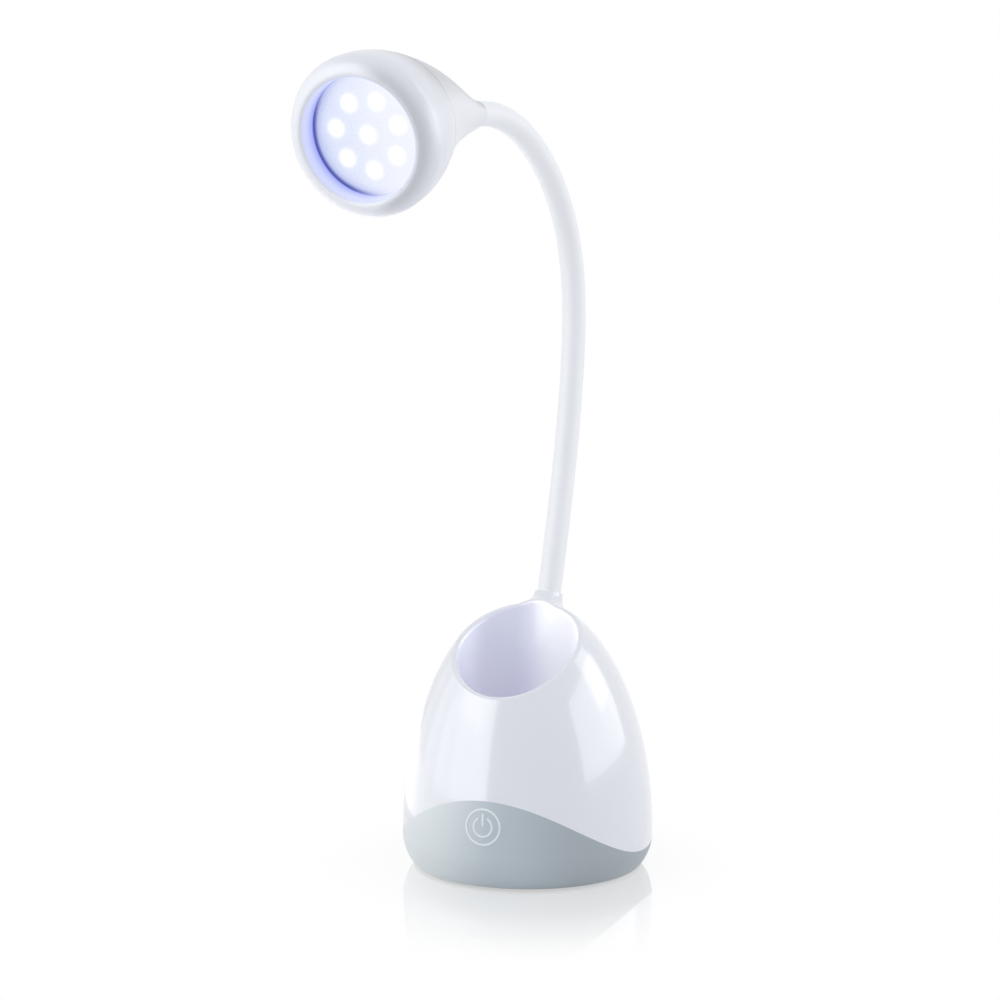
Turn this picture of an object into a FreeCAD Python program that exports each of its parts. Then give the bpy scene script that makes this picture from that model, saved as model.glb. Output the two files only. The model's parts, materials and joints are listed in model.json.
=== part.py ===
import FreeCAD, Part
import Sketcher
import math
import os

# Rechargeable LED desk lamp: a domed base with a pen cup sunk into it, a gooseneck and a round head.
# Millimetres. The origin is the middle of the foot pad's underside, +Z is up and -Y is the front,
# where the touch key is. The neck bends in an upright plane through its root, turned a little
# from the front, and the head lies in that plane too.

doc = FreeCAD.newDocument("DeskLamp")
V = FreeCAD.Vector
X_AXIS = V(1, 0, 0)
Y_AXIS = V(0, 1, 0)
Z_AXIS = V(0, 0, 1)

# ---------------------------------------------------------------- driving dimensions
DIMENSIONS = {
    # base housing
    "base_diameter": 105.0,
    "widest_height": 14.0,
    "dome_rise": 98.0,
    "skirt_radius": 20.0,
    "housing_edge_height": 1.0,
    "housing_wall": 2.2,
    "seam_front_height": 37.7,
    "seam_side_height": 10.3,
    "cup_diameter": 49.0,
    "cup_offset": 12.25,
    "cup_floor_height": 30.0,
    "cup_wall": 2.0,
    "cup_lip_radius": 1.8,
    # collar round the neck's root
    "collar_rise": 10.938,
    "collar_diameter": 11.8,
    "collar_foot_diameter": 15.6,
    "collar_flare": 12.0,
    "collar_length": 14.0,
    "collar_setback_ratio": 0.48648,
    # underside
    "foot_pad_margin": 1.4,
    "foot_pad_thickness": 1.6,
    "plate_margin": 8.1,
    "plate_thickness": 2.2,
    "plate_clearance": 0.2,
    "ledge_width": 3.4,
    "ledge_thickness": 2.0,
    "ballast_diameter": 66.0,
    "ballast_thickness": 6.0,
    "ballast_screw_spacing": 48.0,
    # screws
    "post_margin": 15.0,
    "post_diameter": 6.4,
    "post_front_angle": 55.0,
    "post_rear_angle": 125.0,
    "screw_diameter": 3.0,
    "screw_head_diameter": 5.6,
    "screw_head_height": 1.5,
    "screw_bite": 8.0,
    "thread_clearance": 0.03,
    "small_screw_diameter": 2.0,
    "small_screw_head_diameter": 3.6,
    "small_screw_head_height": 1.2,
    "small_screw_bite": 4.0,
    "touch_screw_bite": 2.0,
    # touch key
    "mark_diameter": 15.2,
    "mark_inner_diameter": 8.6,
    "mark_line": 0.75,
    "mark_height": 27.2,
    "mark_thickness": 0.25,
    "mark_gap": 3.6,
    "mark_bar_length": 5.0,
    "mark_bar_rise": 0.4,
    "touch_board_width": 18.0,
    "touch_board_height": 14.0,
    "touch_board_thickness": 1.2,
    "touch_board_margin": 7.5,
    "touch_spring_diameter": 8.0,
    "touch_spring_wire": 0.8,
    "touch_spring_gap": 1.0,
    "touch_screw_spacing": 14.0,
    "touch_boss_diameter": 4.0,
    # control board, inlet and battery
    "control_board_width": 28.0,
    "control_board_height": 22.0,
    "board_thickness": 1.6,
    "control_board_margin": 10.1,
    "inlet_width": 9.0,
    "inlet_depth": 7.4,
    "inlet_height": 3.4,
    "inlet_level": 18.0,
    "inlet_clearance": 0.2,
    "inlet_wall": 0.4,
    "inlet_back": 1.0,
    "tongue_width": 6.6,
    "tongue_length": 5.9,
    "tongue_thickness": 0.8,
    "board_boss_diameter": 5.0,
    "board_screw_spacing": 20.0,
    "board_screw_level": 27.0,
    "board_margin": 1.0,
    "chip_width": 8.0,
    "chip_height": 6.0,
    "chip_thickness": 1.2,
    "chip_side": 6.0,
    "coil_width": 6.0,
    "coil_thickness": 3.0,
    "coil_side": 5.0,
    "battery_diameter": 18.4,
    "battery_length": 65.0,
    "battery_cap_diameter": 6.6,
    "battery_cap_height": 1.0,
    "battery_side": 16.5,
    "battery_setback": 22.0,
    "holder_wall": 1.4,
    "holder_height": 12.0,
    # gooseneck
    "neck_heading_angle": 6.0,
    "neck_lean_angle": 17.2,
    "neck_diameter": 10.0,
    "core_diameter": 6.4,
    "wire_passage": 2.4,
    "core_clearance": 0.1,
    "joint_gap": 0.3,
    "neck_root_length": 15.6,
    "neck_link_length": 28.64,
    "neck_tip_length": 14.0,
    "sleeve_insert": 6.0,
    "core_insert": 20.0,
    "nut_width": 10.4,
    "nut_thickness": 4.0,
    # head
    "face_tilt_angle": 10.1,
    "head_reach": 84.8,
    "head_drop": 14.45,
    "lens_diameter": 49.0,
    "lens_view_diameter": 46.4,
    "lens_thickness": 2.0,
    "recess_depth": 8.75,
    "rim_crest_diameter": 51.8,
    "bulge_diameter": 62.2,
    "bulge_rise": 0.7,
    "head_seam_diameter": 54.5,
    "head_seam_setback": 17.6,
    "bezel_wall": 2.2,
    "bezel_back_radius": 50.0,
    "bezel_front_radius": 7.8,
    "rim_roll_width": 2.4,
    "rim_roll_depth": 1.6,
    "rim_roll_radius": 1.8,
    "head_clearance": 0.1,
    "spacer_length": 4.0,
    "spacer_wall": 1.6,
    "led_board_thickness": 1.6,
    "led_circle": 27.2,
    "led_size": 5.0,
    "led_dome": 1.6,
    "led_first_angle": 29.0,
    "heat_sink_thickness": 3.0,
    "head_wall": 2.0,
    "spigot_root": 3.0,
    "cone_tip_diameter": 10.8,
    "cone_fullness_ratio": 0.42,
    "cone_tip_run_ratio": 0.22,
    "cone_hollow_power": 1.42,
    "cone_cavity_ratio": 0.7,
    "head_nut_gap": 0.2,
}

# how much each of the ten lengths of neck is bent in the pose that it is stored in, in degrees
NECK_BEND_ANGLES = (1.2, 1.4, 4.0, 4.0, 12.3, 21.5, 19.5, 16.7, 20.1, 9.9)
LED_RING_COUNT = 7
CONE_RING_COUNT = 6

sizes = doc.addObject("Spreadsheet::Sheet", "Sizes")
for row, (alias, number) in enumerate(DIMENSIONS.items(), start=1):
    sizes.set("A%d" % row, alias.replace("_", " "))
    sizes.set("B%d" % row, str(number))
    sizes.setAlias("B%d" % row, alias)
doc.recompute()


class Size:
    """A length or angle that knows its number and the expression that gives it from the sheet."""

    def __init__(self, number, text):
        self.number = float(number)
        self.text = text

    @staticmethod
    def of(other):
        return other if isinstance(other, Size) else Size(other, repr(float(other)))

    def join(self, other, sign, number):
        return Size(number, "(%s %s %s)" % (self.text, sign, other.text))

    def __add__(self, other):
        other = Size.of(other)
        return self.join(other, "+", self.number + other.number)

    def __sub__(self, other):
        other = Size.of(other)
        return self.join(other, "-", self.number - other.number)

    def __mul__(self, other):
        other = Size.of(other)
        return self.join(other, "*", self.number * other.number)

    def __truediv__(self, other):
        other = Size.of(other)
        return self.join(other, "/", self.number / other.number)

    def __neg__(self):
        return Size(-self.number, "(0 - %s)" % self.text)

    def __radd__(self, other):
        return Size.of(other) + self

    def __rsub__(self, other):
        return Size.of(other) - self

    def __rmul__(self, other):
        return Size.of(other) * self


def root(size):
    return Size(math.sqrt(size.number), "sqrt(%s)" % size.text)


def sine(size):
    return Size(math.sin(math.radians(size.number)), "sin(%s * 1 deg)" % size.text)


def cosine(size):
    return Size(math.cos(math.radians(size.number)), "cos(%s * 1 deg)" % size.text)


def size_of(alias):
    return Size(sizes.get(alias), "Sizes.%s" % alias)


S = {alias: size_of(alias) for alias in DIMENSIONS}


# ---------------------------------------------------------------- helpers
def bind(thing, **properties):
    """Ties properties to sizes. A double underscore stands for a dot in the property's name."""
    for name, size in properties.items():
        thing.setExpression(name.replace("__", "."), Size.of(size).text)


def put(thing, x=0.0, y=0.0, z=0.0):
    bind(thing, Placement__Base__x=x, Placement__Base__y=y, Placement__Base__z=z)
    return thing


def cylinder(name, radius, length, x=0.0, y=0.0, z=0.0, along=Z_AXIS):
    made = doc.addObject("Part::Cylinder", name)
    made.Placement = FreeCAD.Placement(V(0, 0, 0), FreeCAD.Rotation(Z_AXIS, along))
    bind(made, Radius=radius, Height=length)
    return put(made, x, y, z)


def stub(name, radius, length, place, direction):
    """A straight bar from a place, in a direction of its own."""
    made = doc.addObject("Part::Cylinder", name)
    bind(made, Radius=radius, Height=length)
    made.Placement = FreeCAD.Placement(place, FreeCAD.Rotation(Z_AXIS, direction))
    return made


def cone(name, radius_low, radius_high, length, x, y, z):
    made = doc.addObject("Part::Cone", name)
    bind(made, Radius1=radius_low, Radius2=radius_high, Height=length)
    return put(made, x, y, z)


def block(name, width, depth, height, x, y, z):
    """A box centred on x, whose near side is at y and whose underside is at z."""
    made = doc.addObject("Part::Box", name)
    bind(made, Length=width, Width=depth, Height=height)
    return put(made, x - Size.of(width) / 2, y, z)


def cut(name, base, *tools):
    made = doc.addObject("Part::Cut", name)
    made.Base = base
    made.Tool = tools[0] if len(tools) == 1 else fuse(name + "_tools", *tools)
    return made


def fuse(name, *shapes):
    made = doc.addObject("Part::MultiFuse", name)
    made.Shapes = list(shapes)
    return made


def common(name, *shapes):
    made = doc.addObject("Part::MultiCommon", name)
    made.Shapes = list(shapes)
    return made


def group(name, *shapes):
    """Separate solids that share one node."""
    made = doc.addObject("Part::Compound", name)
    made.Links = list(shapes)
    return made


def formed(name, shape):
    """A piece whose shape comes from Part's own functions."""
    made = doc.addObject("Part::Feature", name)
    made.Shape = shape
    return made


def counter_clockwise_arc(first, last, radius):
    """The short arc of this radius that runs counter-clockwise from first to last."""
    chord = last - first
    half = chord.Length / 2
    reach = math.sqrt(max(radius * radius - half * half, 0.0))
    centre = (first + last) * 0.5 + V(-chord.y, chord.x, 0).normalize() * reach
    start = math.atan2(first.y - centre.y, first.x - centre.x)
    stop = math.atan2(last.y - centre.y, last.x - centre.x)
    stop += 2 * math.pi if stop < start else 0.0
    return Part.ArcOfCircle(Part.Circle(centre, Z_AXIS, radius), start, stop)


def quarter_ellipse(first, last):
    """From the ellipse's outermost point, first, up to its top, last."""
    centre = V(last.x, first.y, 0)
    return Part.ArcOfEllipse(Part.Ellipse(last, centre * 2 - first, centre), -math.pi / 2, 0)


def turned(name, outline, placement=None):
    """A body turned about its own Z axis. The outline lists (radius, height) corners counter-clockwise.
    A third item is the radius of the arc that leads to that corner, less than nothing where the arc
    is hollow, or "quarter" where a quarter of an upright ellipse leads to it."""
    body = doc.addObject("PartDesign::Body", name)
    sketch = body.newObject("Sketcher::SketchObject", name + "_outline")
    plane = [item for item in body.Origin.OriginFeatures if item.Role == "XZ_Plane"][0]
    sketch.AttachmentSupport = [(plane, "")]
    sketch.MapMode = "FlatFace"
    corners = [(Size.of(corner[0]), Size.of(corner[1])) for corner in outline]
    points = [V(radius.number, height.number, 0) for radius, height in corners]
    edges = []
    for here, first in enumerate(points):
        there = (here + 1) % len(points)
        edges.append(outline_edge(sketch, first, points[there], outline[there][2:]))
    for here, (edge, start, stop) in enumerate(edges):
        after, after_start, _ = edges[(here + 1) % len(edges)]
        sketch.addConstraint(Sketcher.Constraint("Coincident", edge, stop, after, after_start))
        for axis, size in zip(("DistanceX", "DistanceY"), corners[here]):
            tie(sketch, size, axis, -1, 1, edge, start)
    turn = body.newObject("PartDesign::Revolution", name + "_turn")
    turn.Profile = sketch
    turn.ReferenceAxis = (sketch, ["V_Axis"])
    turn.Angle = 360
    body.Tip = turn
    if placement is not None:
        body.Placement = placement
    return body


def tie(sketch, size, kind, *where):
    """Adds a constraint to the sketch and ties it to a size."""
    number = sketch.addConstraint(Sketcher.Constraint(kind, *where, size.number))
    sketch.setExpression("Constraints[%d]" % number, size.text)


def outline_edge(sketch, first, last, bend):
    """Adds one edge of an outline. Gives its number, its start point's number and its end point's."""
    if not bend:
        return sketch.addGeometry(Part.LineSegment(first, last)), 1, 2
    if bend[0] == "quarter":
        edge = sketch.addGeometry(quarter_ellipse(first, last))
        sketch.exposeInternalGeometry(edge)
        sketch.addConstraint(Sketcher.Constraint("Vertical", edge + 1))
        sketch.addConstraint(Sketcher.Constraint("PointOnObject", edge, 3, -2))
        sketch.addConstraint(Sketcher.Constraint("Horizontal", edge, 3, edge, 1))
        return edge, 1, 2
    size = Size.of(bend[0])
    if size.number > 0:
        edge = sketch.addGeometry(counter_clockwise_arc(first, last, size.number))
        tie(sketch, size, "Radius", edge)
        return edge, 1, 2
    size = -size
    edge = sketch.addGeometry(counter_clockwise_arc(last, first, size.number))
    tie(sketch, size, "Radius", edge)
    return edge, 2, 1


def edges_where(shape, test):
    """The numbers of a shape's edges all of whose sampled points pass a test."""
    found = []
    for number, edge in enumerate(shape.Edges, start=1):
        low, high = edge.ParameterRange
        samples = [edge.valueAt(low + (high - low) * share / 6) for share in range(7)]
        if all(test(point) for point in samples):
            found.append(number)
    return found


def rounded(name, base, radius, test):
    """The base with the edges that pass the test filleted."""
    doc.recompute()
    made = doc.addObject("Part::Fillet", name)
    made.Base = base
    made.Edges = [(number, radius.number, radius.number) for number in edges_where(base.Shape, test)]
    return made


# ---------------------------------------------------------------- places that several pieces share
half = 0.5
base_radius = S["base_diameter"] * half
plate_bottom = S["foot_pad_thickness"]
plate_top = plate_bottom + S["plate_thickness"]
ledge_top = plate_top + S["ledge_thickness"]
ballast_top = plate_top + S["ballast_thickness"]
cup_radius = S["cup_diameter"] * half
plate_radius = base_radius - S["plate_margin"]
post_radius = base_radius - S["post_margin"]
touch_face = -(base_radius - S["touch_board_margin"])
control_front = base_radius - S["control_board_margin"]
screw_hole = S["screw_diameter"] * half + S["thread_clearance"]
small_screw_hole = S["small_screw_diameter"] * half + S["thread_clearance"]
far = 200.0
# how far a cutting tool runs past the face that it cuts, and how near a point on a face has to be
overshoot = 1.0
touching = 0.01

heading = math.radians(S["neck_heading_angle"].number)
FORWARD = V(-math.sin(heading), -math.cos(heading), 0)
SIDEWAYS = V(math.cos(heading), -math.sin(heading), 0)
collar_ratio = S["collar_setback_ratio"].number
dome_at_collar = S["widest_height"].number + S["dome_rise"].number * math.sqrt(1 - collar_ratio ** 2)
collar_top = V(0, base_radius.number * collar_ratio, dome_at_collar + S["collar_rise"].number)


def leaning(angle):
    """The direction in the neck's plane at this angle forward of upright, in radians."""
    return FORWARD * math.sin(angle) + Z_AXIS * math.cos(angle)


def ahead(angle):
    """The direction in the neck's plane square to leaning(angle), on the forward side."""
    return FORWARD * math.cos(angle) - Z_AXIS * math.sin(angle)


root_angle = -math.radians(S["neck_lean_angle"].number)
root_axis = leaning(root_angle)
along_root = FreeCAD.Placement(collar_top, FreeCAD.Rotation(Z_AXIS, root_axis))


def below_collar(depth):
    """A placement on the neck's root line, this far below the collar's top, pointing up the neck."""
    return FreeCAD.Placement(collar_top - root_axis * Size.of(depth).number, along_root.Rotation)


# ---------------------------------------------------------------- base housing
def form(name, inset, bottom):
    """The solid inside the housing's outer surface, drawn in by the inset, above a flat bottom."""
    skirt = S["skirt_radius"] - inset
    centre = base_radius - S["skirt_radius"]
    drop = S["widest_height"] - bottom
    return turned(name, [
        (0, bottom),
        (centre + root(skirt * skirt - drop * drop), bottom),
        (base_radius - inset, S["widest_height"], skirt),
        (0, S["widest_height"] + S["dome_rise"] - inset, "quarter"),
    ])


def arch_tool():
    """Everything under the seam: a parabola across the front, carried straight through to the back."""
    front = S["seam_front_height"].number
    fall = (front - S["seam_side_height"].number) / base_radius.number ** 2
    wide = base_radius.number + overshoot
    foot = front - fall * wide ** 2
    curve = Part.BezierCurve()
    curve.setPoles([V(-wide, -wide, foot), V(0, -wide, 2 * front - foot), V(wide, -wide, foot)])
    low = [V(wide, -wide, -far), V(-wide, -wide, -far)]
    sides = Part.makePolygon([V(wide, -wide, foot), *low, V(-wide, -wide, foot)])
    face = Part.Face(Part.Wire([curve.toShape(), *sides.Edges]))
    return formed("seam_arch", face.extrude(V(0, 2 * wide, 0)))


outer = form("outer_form", 0.0, S["housing_edge_height"])
inner = form("inner_form", S["housing_wall"], ledge_top)
arch = arch_tool()


def with_collar():
    """The outer form with the collar standing on it and a wide fillet round the collar's foot."""
    rod = doc.addObject("Part::Cone", "collar_rod")
    bind(rod, Radius1=S["collar_foot_diameter"] * half, Radius2=S["collar_diameter"] * half,
         Height=S["collar_length"])
    rod.Placement = below_collar(S["collar_length"])
    joined = fuse("dome_and_collar", outer, rod)
    reach = S["collar_diameter"].number * half
    spread = (S["collar_foot_diameter"].number * half - reach) / S["collar_length"].number

    def round_the_foot(point):
        off = point - collar_top
        along = off.dot(root_axis)
        from_side = (off - root_axis * along).Length - reach + spread * along
        return abs(from_side) < touching and along < -overshoot

    return rounded("dome_form", joined, S["collar_flare"], round_the_foot)


dome = with_collar()


def on_post_circle():
    """Where the four screw posts stand: two towards the front and two towards the back."""
    for angle in (S["post_front_angle"], S["post_rear_angle"]):
        for side in (-1.0, 1.0):
            yield post_radius * sine(angle) * side, -(post_radius * cosine(angle))


def make_upper_housing():
    """White dome shell with the cup's wall and floor, the neck's collar boss and the screw posts."""
    shell = cut("dome_shell", dome, arch, inner)
    cup_outer = cup_radius + S["cup_wall"]
    tube = cylinder("cup_wall_rod", cup_outer, far, 0, -S["cup_offset"],
                    S["cup_floor_height"] - S["cup_wall"])
    posts = [
        cylinder("post_%d" % number, S["post_diameter"] * half, far, x, y, plate_top)
        for number, (x, y) in enumerate(on_post_circle(), start=1)
    ]
    boss = stub("collar_boss", S["collar_diameter"] * half, S["collar_length"], collar_top, -1 * root_axis)
    inside = common("inside_the_dome", dome, fuse("cup_and_posts", tube, *posts))
    whole = fuse("upper_with_cup", shell, inside, boss)
    well = cylinder("cup_well", cup_radius, far, 0, -S["cup_offset"], S["cup_floor_height"])
    hollowed = cut("upper_hollowed", whole, well)
    middle = V(0, -S["cup_offset"].number, 0)
    floor_height = S["cup_floor_height"].number

    def on_the_rim(point):
        reach = math.hypot(point.x - middle.x, point.y - middle.y)
        return abs(reach - cup_radius.number) < touching and point.z > floor_height + overshoot

    pilots = [
        cylinder("pilot_%d" % number, screw_hole, S["screw_bite"] + overshoot * 2,
                 x, y, plate_top - overshoot)
        for number, (x, y) in enumerate(on_post_circle(), start=1)
    ]
    sleeve_seat = stub("sleeve_seat", S["neck_diameter"] * half + S["core_clearance"] * half,
                       S["sleeve_insert"] + overshoot, collar_top + root_axis * overshoot, -1 * root_axis)
    core_seat = stub("core_seat", S["core_diameter"] * half + S["core_clearance"] * half,
                     S["core_insert"] + overshoot * 2, collar_top + root_axis * overshoot, -1 * root_axis)
    bored = cut("upper_bored", hollowed, *pilots, sleeve_seat, core_seat)
    return rounded("upper_housing", bored, S["cup_lip_radius"], on_the_rim)


def make_lower_housing():
    """Grey band under the seam, with a ledge inside its foot that the base plate comes up against."""
    band = common("band_form", outer, arch)
    opening = cylinder("ledge_hole", plate_radius - S["ledge_width"], ledge_top, 0, 0, 0)
    recess = cylinder("plate_recess", plate_radius + S["plate_clearance"], plate_top, 0, 0, 0)
    mouth = block("inlet_hole", S["inlet_width"] + S["inlet_clearance"] * 2, far,
                  S["inlet_height"] + S["inlet_clearance"] * 2,
                  0, control_front + S["board_thickness"],
                  S["inlet_level"] - S["inlet_clearance"] - S["inlet_height"] * half)
    shell = cut("band_shell", band, inner, opening, recess, mouth)
    rear = control_front + S["board_thickness"]
    bosses = []
    for number, side in enumerate((-1.0, 1.0), start=1):
        bosses.append(cylinder("board_boss_%d" % number, S["board_boss_diameter"] * half, far,
                               S["board_screw_spacing"] * half * side, rear, S["board_screw_level"], Y_AXIS))
        bosses.append(cylinder("touch_boss_%d" % number, S["touch_boss_diameter"] * half, far,
                               S["touch_screw_spacing"] * half * side, touch_face, S["mark_height"], -Y_AXIS))
    inside = common("bosses_inside", band, fuse("bosses", *bosses))
    whole = fuse("band_with_bosses", shell, inside)
    pilots = []
    for number, side in enumerate((-1.0, 1.0), start=1):
        pilots.append(cylinder("board_pilot_%d" % number, small_screw_hole, S["small_screw_bite"],
                               S["board_screw_spacing"] * half * side, rear, S["board_screw_level"], Y_AXIS))
        pilots.append(cylinder("touch_pilot_%d" % number, small_screw_hole, S["touch_screw_bite"],
                               S["touch_screw_spacing"] * half * side, touch_face, S["mark_height"], -Y_AXIS))
    return cut("lower_housing", whole, *pilots)


def countersunk_screw(name, diameter, head_diameter, head_height, length, x, y, z):
    """An upright screw whose head's outer face is at the given place."""
    head = cone(name + "_head", head_diameter * half, diameter * half, head_height, x, y, z)
    shank = cylinder(name + "_shank", diameter * half, length, x, y, z)
    return fuse(name, head, shank)


def pan_screw(name, diameter, head_diameter, head_height, bite, x, y, z, along):
    """A screw whose head sits on the face at the given place and whose shank bites past it."""
    head = cylinder(name + "_head", head_diameter * half, head_height, x, y, z, -1 * along)
    shank = cylinder(name + "_shank", diameter * half, bite, x, y, z, along)
    return fuse(name, head, shank)


def make_base_plate():
    """Underside cover with four countersunk holes for the housing screws and two for the ballast's."""
    disc = cylinder("plate_disc", plate_radius, S["plate_thickness"], 0, 0, plate_bottom)
    holes = []
    for number, (x, y) in enumerate(on_post_circle(), start=1):
        holes.append(cylinder("plate_hole_%d" % number, screw_hole, far, x, y, 0))
        holes.append(cone("plate_sink_%d" % number, S["screw_head_diameter"] * half + S["thread_clearance"],
                          screw_hole, S["screw_head_height"], x, y, plate_bottom))
    for number, side in enumerate((-1.0, 1.0), start=1):
        holes.append(cylinder("plate_pilot_%d" % number, screw_hole, far,
                              S["ballast_screw_spacing"] * half * side, 0, 0))
    return cut("base_plate", disc, *holes)


def make_foot_pad():
    """Rubber pad that the lamp stands on. It covers the screws."""
    return cylinder("foot_pad", plate_radius - S["foot_pad_margin"], S["foot_pad_thickness"], 0, 0, 0)


def make_ballast():
    """Steel disc that keeps the lamp upright under its overhanging head."""
    disc = cylinder("ballast_disc", S["ballast_diameter"] * half, S["ballast_thickness"], 0, 0, plate_top)
    holes = [
        cylinder("ballast_hole_%d" % number, screw_hole, far, S["ballast_screw_spacing"] * half * side, 0, 0)
        for number, side in enumerate((-1.0, 1.0), start=1)
    ]
    return cut("ballast", disc, *holes)


def make_ballast_screws():
    bite = S["ballast_thickness"] + S["plate_thickness"] - S["plate_clearance"]
    return group("ballast_screws", *[
        pan_screw("ballast_screw_%d" % number, S["screw_diameter"], S["screw_head_diameter"],
                  S["screw_head_height"], bite,
                  S["ballast_screw_spacing"] * half * side, 0, ballast_top, -1 * Z_AXIS)
        for number, side in enumerate((-1.0, 1.0), start=1)
    ])


def make_housing_screws():
    return group("housing_screws", *[
        countersunk_screw("housing_screw_%d" % number, S["screw_diameter"], S["screw_head_diameter"],
                          S["screw_head_height"], S["plate_thickness"] + S["screw_bite"], x, y, plate_bottom)
        for number, (x, y) in enumerate(on_post_circle(), start=1)
    ])


# ---------------------------------------------------------------- touch key
def make_power_mark():
    """The key's outer ring and its on/off symbol, a skin's thickness proud of the band."""
    outside = form("mark_form", -S["mark_thickness"], S["housing_edge_height"])
    skin = cut("mark_skin", outside, outer)
    near = -(base_radius + overshoot)
    depth = base_radius
    level = S["mark_height"]
    line = S["mark_line"]

    def ring(name, diameter):
        return cut(name, cylinder(name + "_rim", diameter * half, depth, 0, near, level, Y_AXIS),
                   cylinder(name + "_eye", diameter * half - line, depth, 0, near, level, Y_AXIS))

    inner_ring = ring("symbol_ring", S["mark_inner_diameter"])
    gap = S["mark_gap"]
    opened = cut("symbol_broken_ring", inner_ring, block("symbol_gap", gap, depth, S["mark_inner_diameter"],
                                                         0, near, level))
    bar = block("symbol_bar", line, depth, S["mark_bar_length"], 0, near, level + S["mark_bar_rise"])
    drawn = fuse("symbol", ring("key_ring", S["mark_diameter"]), opened, bar)
    return common("power_mark", skin, drawn)


def make_touch_board():
    """Small board behind the key."""
    board = block("touch_blank", S["touch_board_width"], S["touch_board_thickness"], S["touch_board_height"],
                  0, touch_face, S["mark_height"] - S["touch_board_height"] * half)
    holes = [
        cylinder("touch_hole_%d" % number, small_screw_hole, S["touch_board_thickness"] + overshoot * 2,
                 S["touch_screw_spacing"] * half * side, touch_face - overshoot, S["mark_height"], Y_AXIS)
        for number, side in enumerate((-1.0, 1.0), start=1)
    ]
    return cut("touch_board", board, *holes)


def make_touch_spring():
    """Contact spring that carries the key's sense line from the wall to the board."""
    reach = S["touch_board_margin"] - S["housing_wall"] - S["touch_spring_gap"]
    radius = S["touch_spring_diameter"] * half
    rod = cylinder("spring_rim", radius, reach, 0, touch_face, S["mark_height"], -1 * Y_AXIS)
    eye = cylinder("spring_eye", radius - S["touch_spring_wire"], reach + overshoot * 2,
                   0, touch_face + overshoot, S["mark_height"], -1 * Y_AXIS)
    return cut("touch_spring", rod, eye)


def make_touch_screws():
    bite = S["touch_board_thickness"] + S["touch_screw_bite"] - S["plate_clearance"]
    seat = touch_face + S["touch_board_thickness"]
    return group("touch_screws", *[
        pan_screw("touch_screw_%d" % number, S["small_screw_diameter"], S["small_screw_head_diameter"],
                  S["small_screw_head_height"], bite,
                  S["touch_screw_spacing"] * half * side, seat, S["mark_height"], -1 * Y_AXIS)
        for number, side in enumerate((-1.0, 1.0), start=1)
    ])


# ---------------------------------------------------------------- electronics at the back
def make_control_board():
    level = S["board_screw_level"] + S["board_boss_diameter"] * half + S["board_margin"]
    board = block("control_blank", S["control_board_width"], S["board_thickness"], S["control_board_height"],
                  0, control_front, level - S["control_board_height"])
    chip = block("control_chip", S["chip_width"], S["chip_thickness"], S["chip_height"],
                 -S["chip_side"], control_front - S["chip_thickness"], S["inlet_level"])
    coil = block("control_coil", S["coil_width"], S["coil_thickness"], S["coil_width"],
                 S["coil_side"], control_front - S["coil_thickness"], S["inlet_level"])
    holes = [
        cylinder("control_hole_%d" % number, small_screw_hole, far,
                 S["board_screw_spacing"] * half * side, 0, S["board_screw_level"], Y_AXIS)
        for number, side in enumerate((-1.0, 1.0), start=1)
    ]
    return cut("control_board", fuse("control_fitted", board, chip, coil), *holes)


def make_control_screws():
    bite = S["board_thickness"] + S["small_screw_bite"] - S["plate_clearance"]
    return group("control_screws", *[
        pan_screw("control_screw_%d" % number, S["small_screw_diameter"], S["small_screw_head_diameter"],
                  S["small_screw_head_height"], bite, S["board_screw_spacing"] * half * side,
                  control_front, S["board_screw_level"], Y_AXIS)
        for number, side in enumerate((-1.0, 1.0), start=1)
    ])


def make_power_inlet():
    """Metal socket on the control board's back, its mouth open to the rear."""
    start = control_front + S["board_thickness"]
    low = S["inlet_level"] - S["inlet_height"] * half
    case = block("inlet_case", S["inlet_width"], S["inlet_depth"], S["inlet_height"], 0, start, low)
    wall = S["inlet_wall"]
    mouth = block("inlet_mouth", S["inlet_width"] - wall * 2, S["inlet_depth"], S["inlet_height"] - wall * 2,
                  0, start + S["inlet_back"], low + wall)
    tongue = block("inlet_tongue", S["tongue_width"], S["tongue_length"], S["tongue_thickness"],
                   0, start + S["inlet_back"] * half, S["inlet_level"] - S["tongue_thickness"] * half)
    return fuse("power_inlet", cut("inlet_shell", case, mouth), tongue)


def make_battery():
    low = ballast_top + S["holder_wall"]
    cell_length = S["battery_length"] - S["battery_cap_height"]
    cell = cylinder("battery_cell", S["battery_diameter"] * half, cell_length,
                    -S["battery_side"], S["battery_setback"], low)
    cap = cylinder("battery_cap", S["battery_cap_diameter"] * half, S["battery_length"],
                   -S["battery_side"], S["battery_setback"], low)
    return fuse("battery", cell, cap)


def make_battery_holder():
    """Round cup, glued to the ballast, that the cell stands in."""
    cup = cylinder("holder_cup", S["battery_diameter"] * half + S["holder_wall"], S["holder_height"],
                   -S["battery_side"], S["battery_setback"], ballast_top)
    well = cylinder("holder_well", S["battery_diameter"] * half + S["thread_clearance"], S["holder_height"],
                    -S["battery_side"], S["battery_setback"], ballast_top + S["holder_wall"])
    return cut("battery_holder", cup, well)


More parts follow.
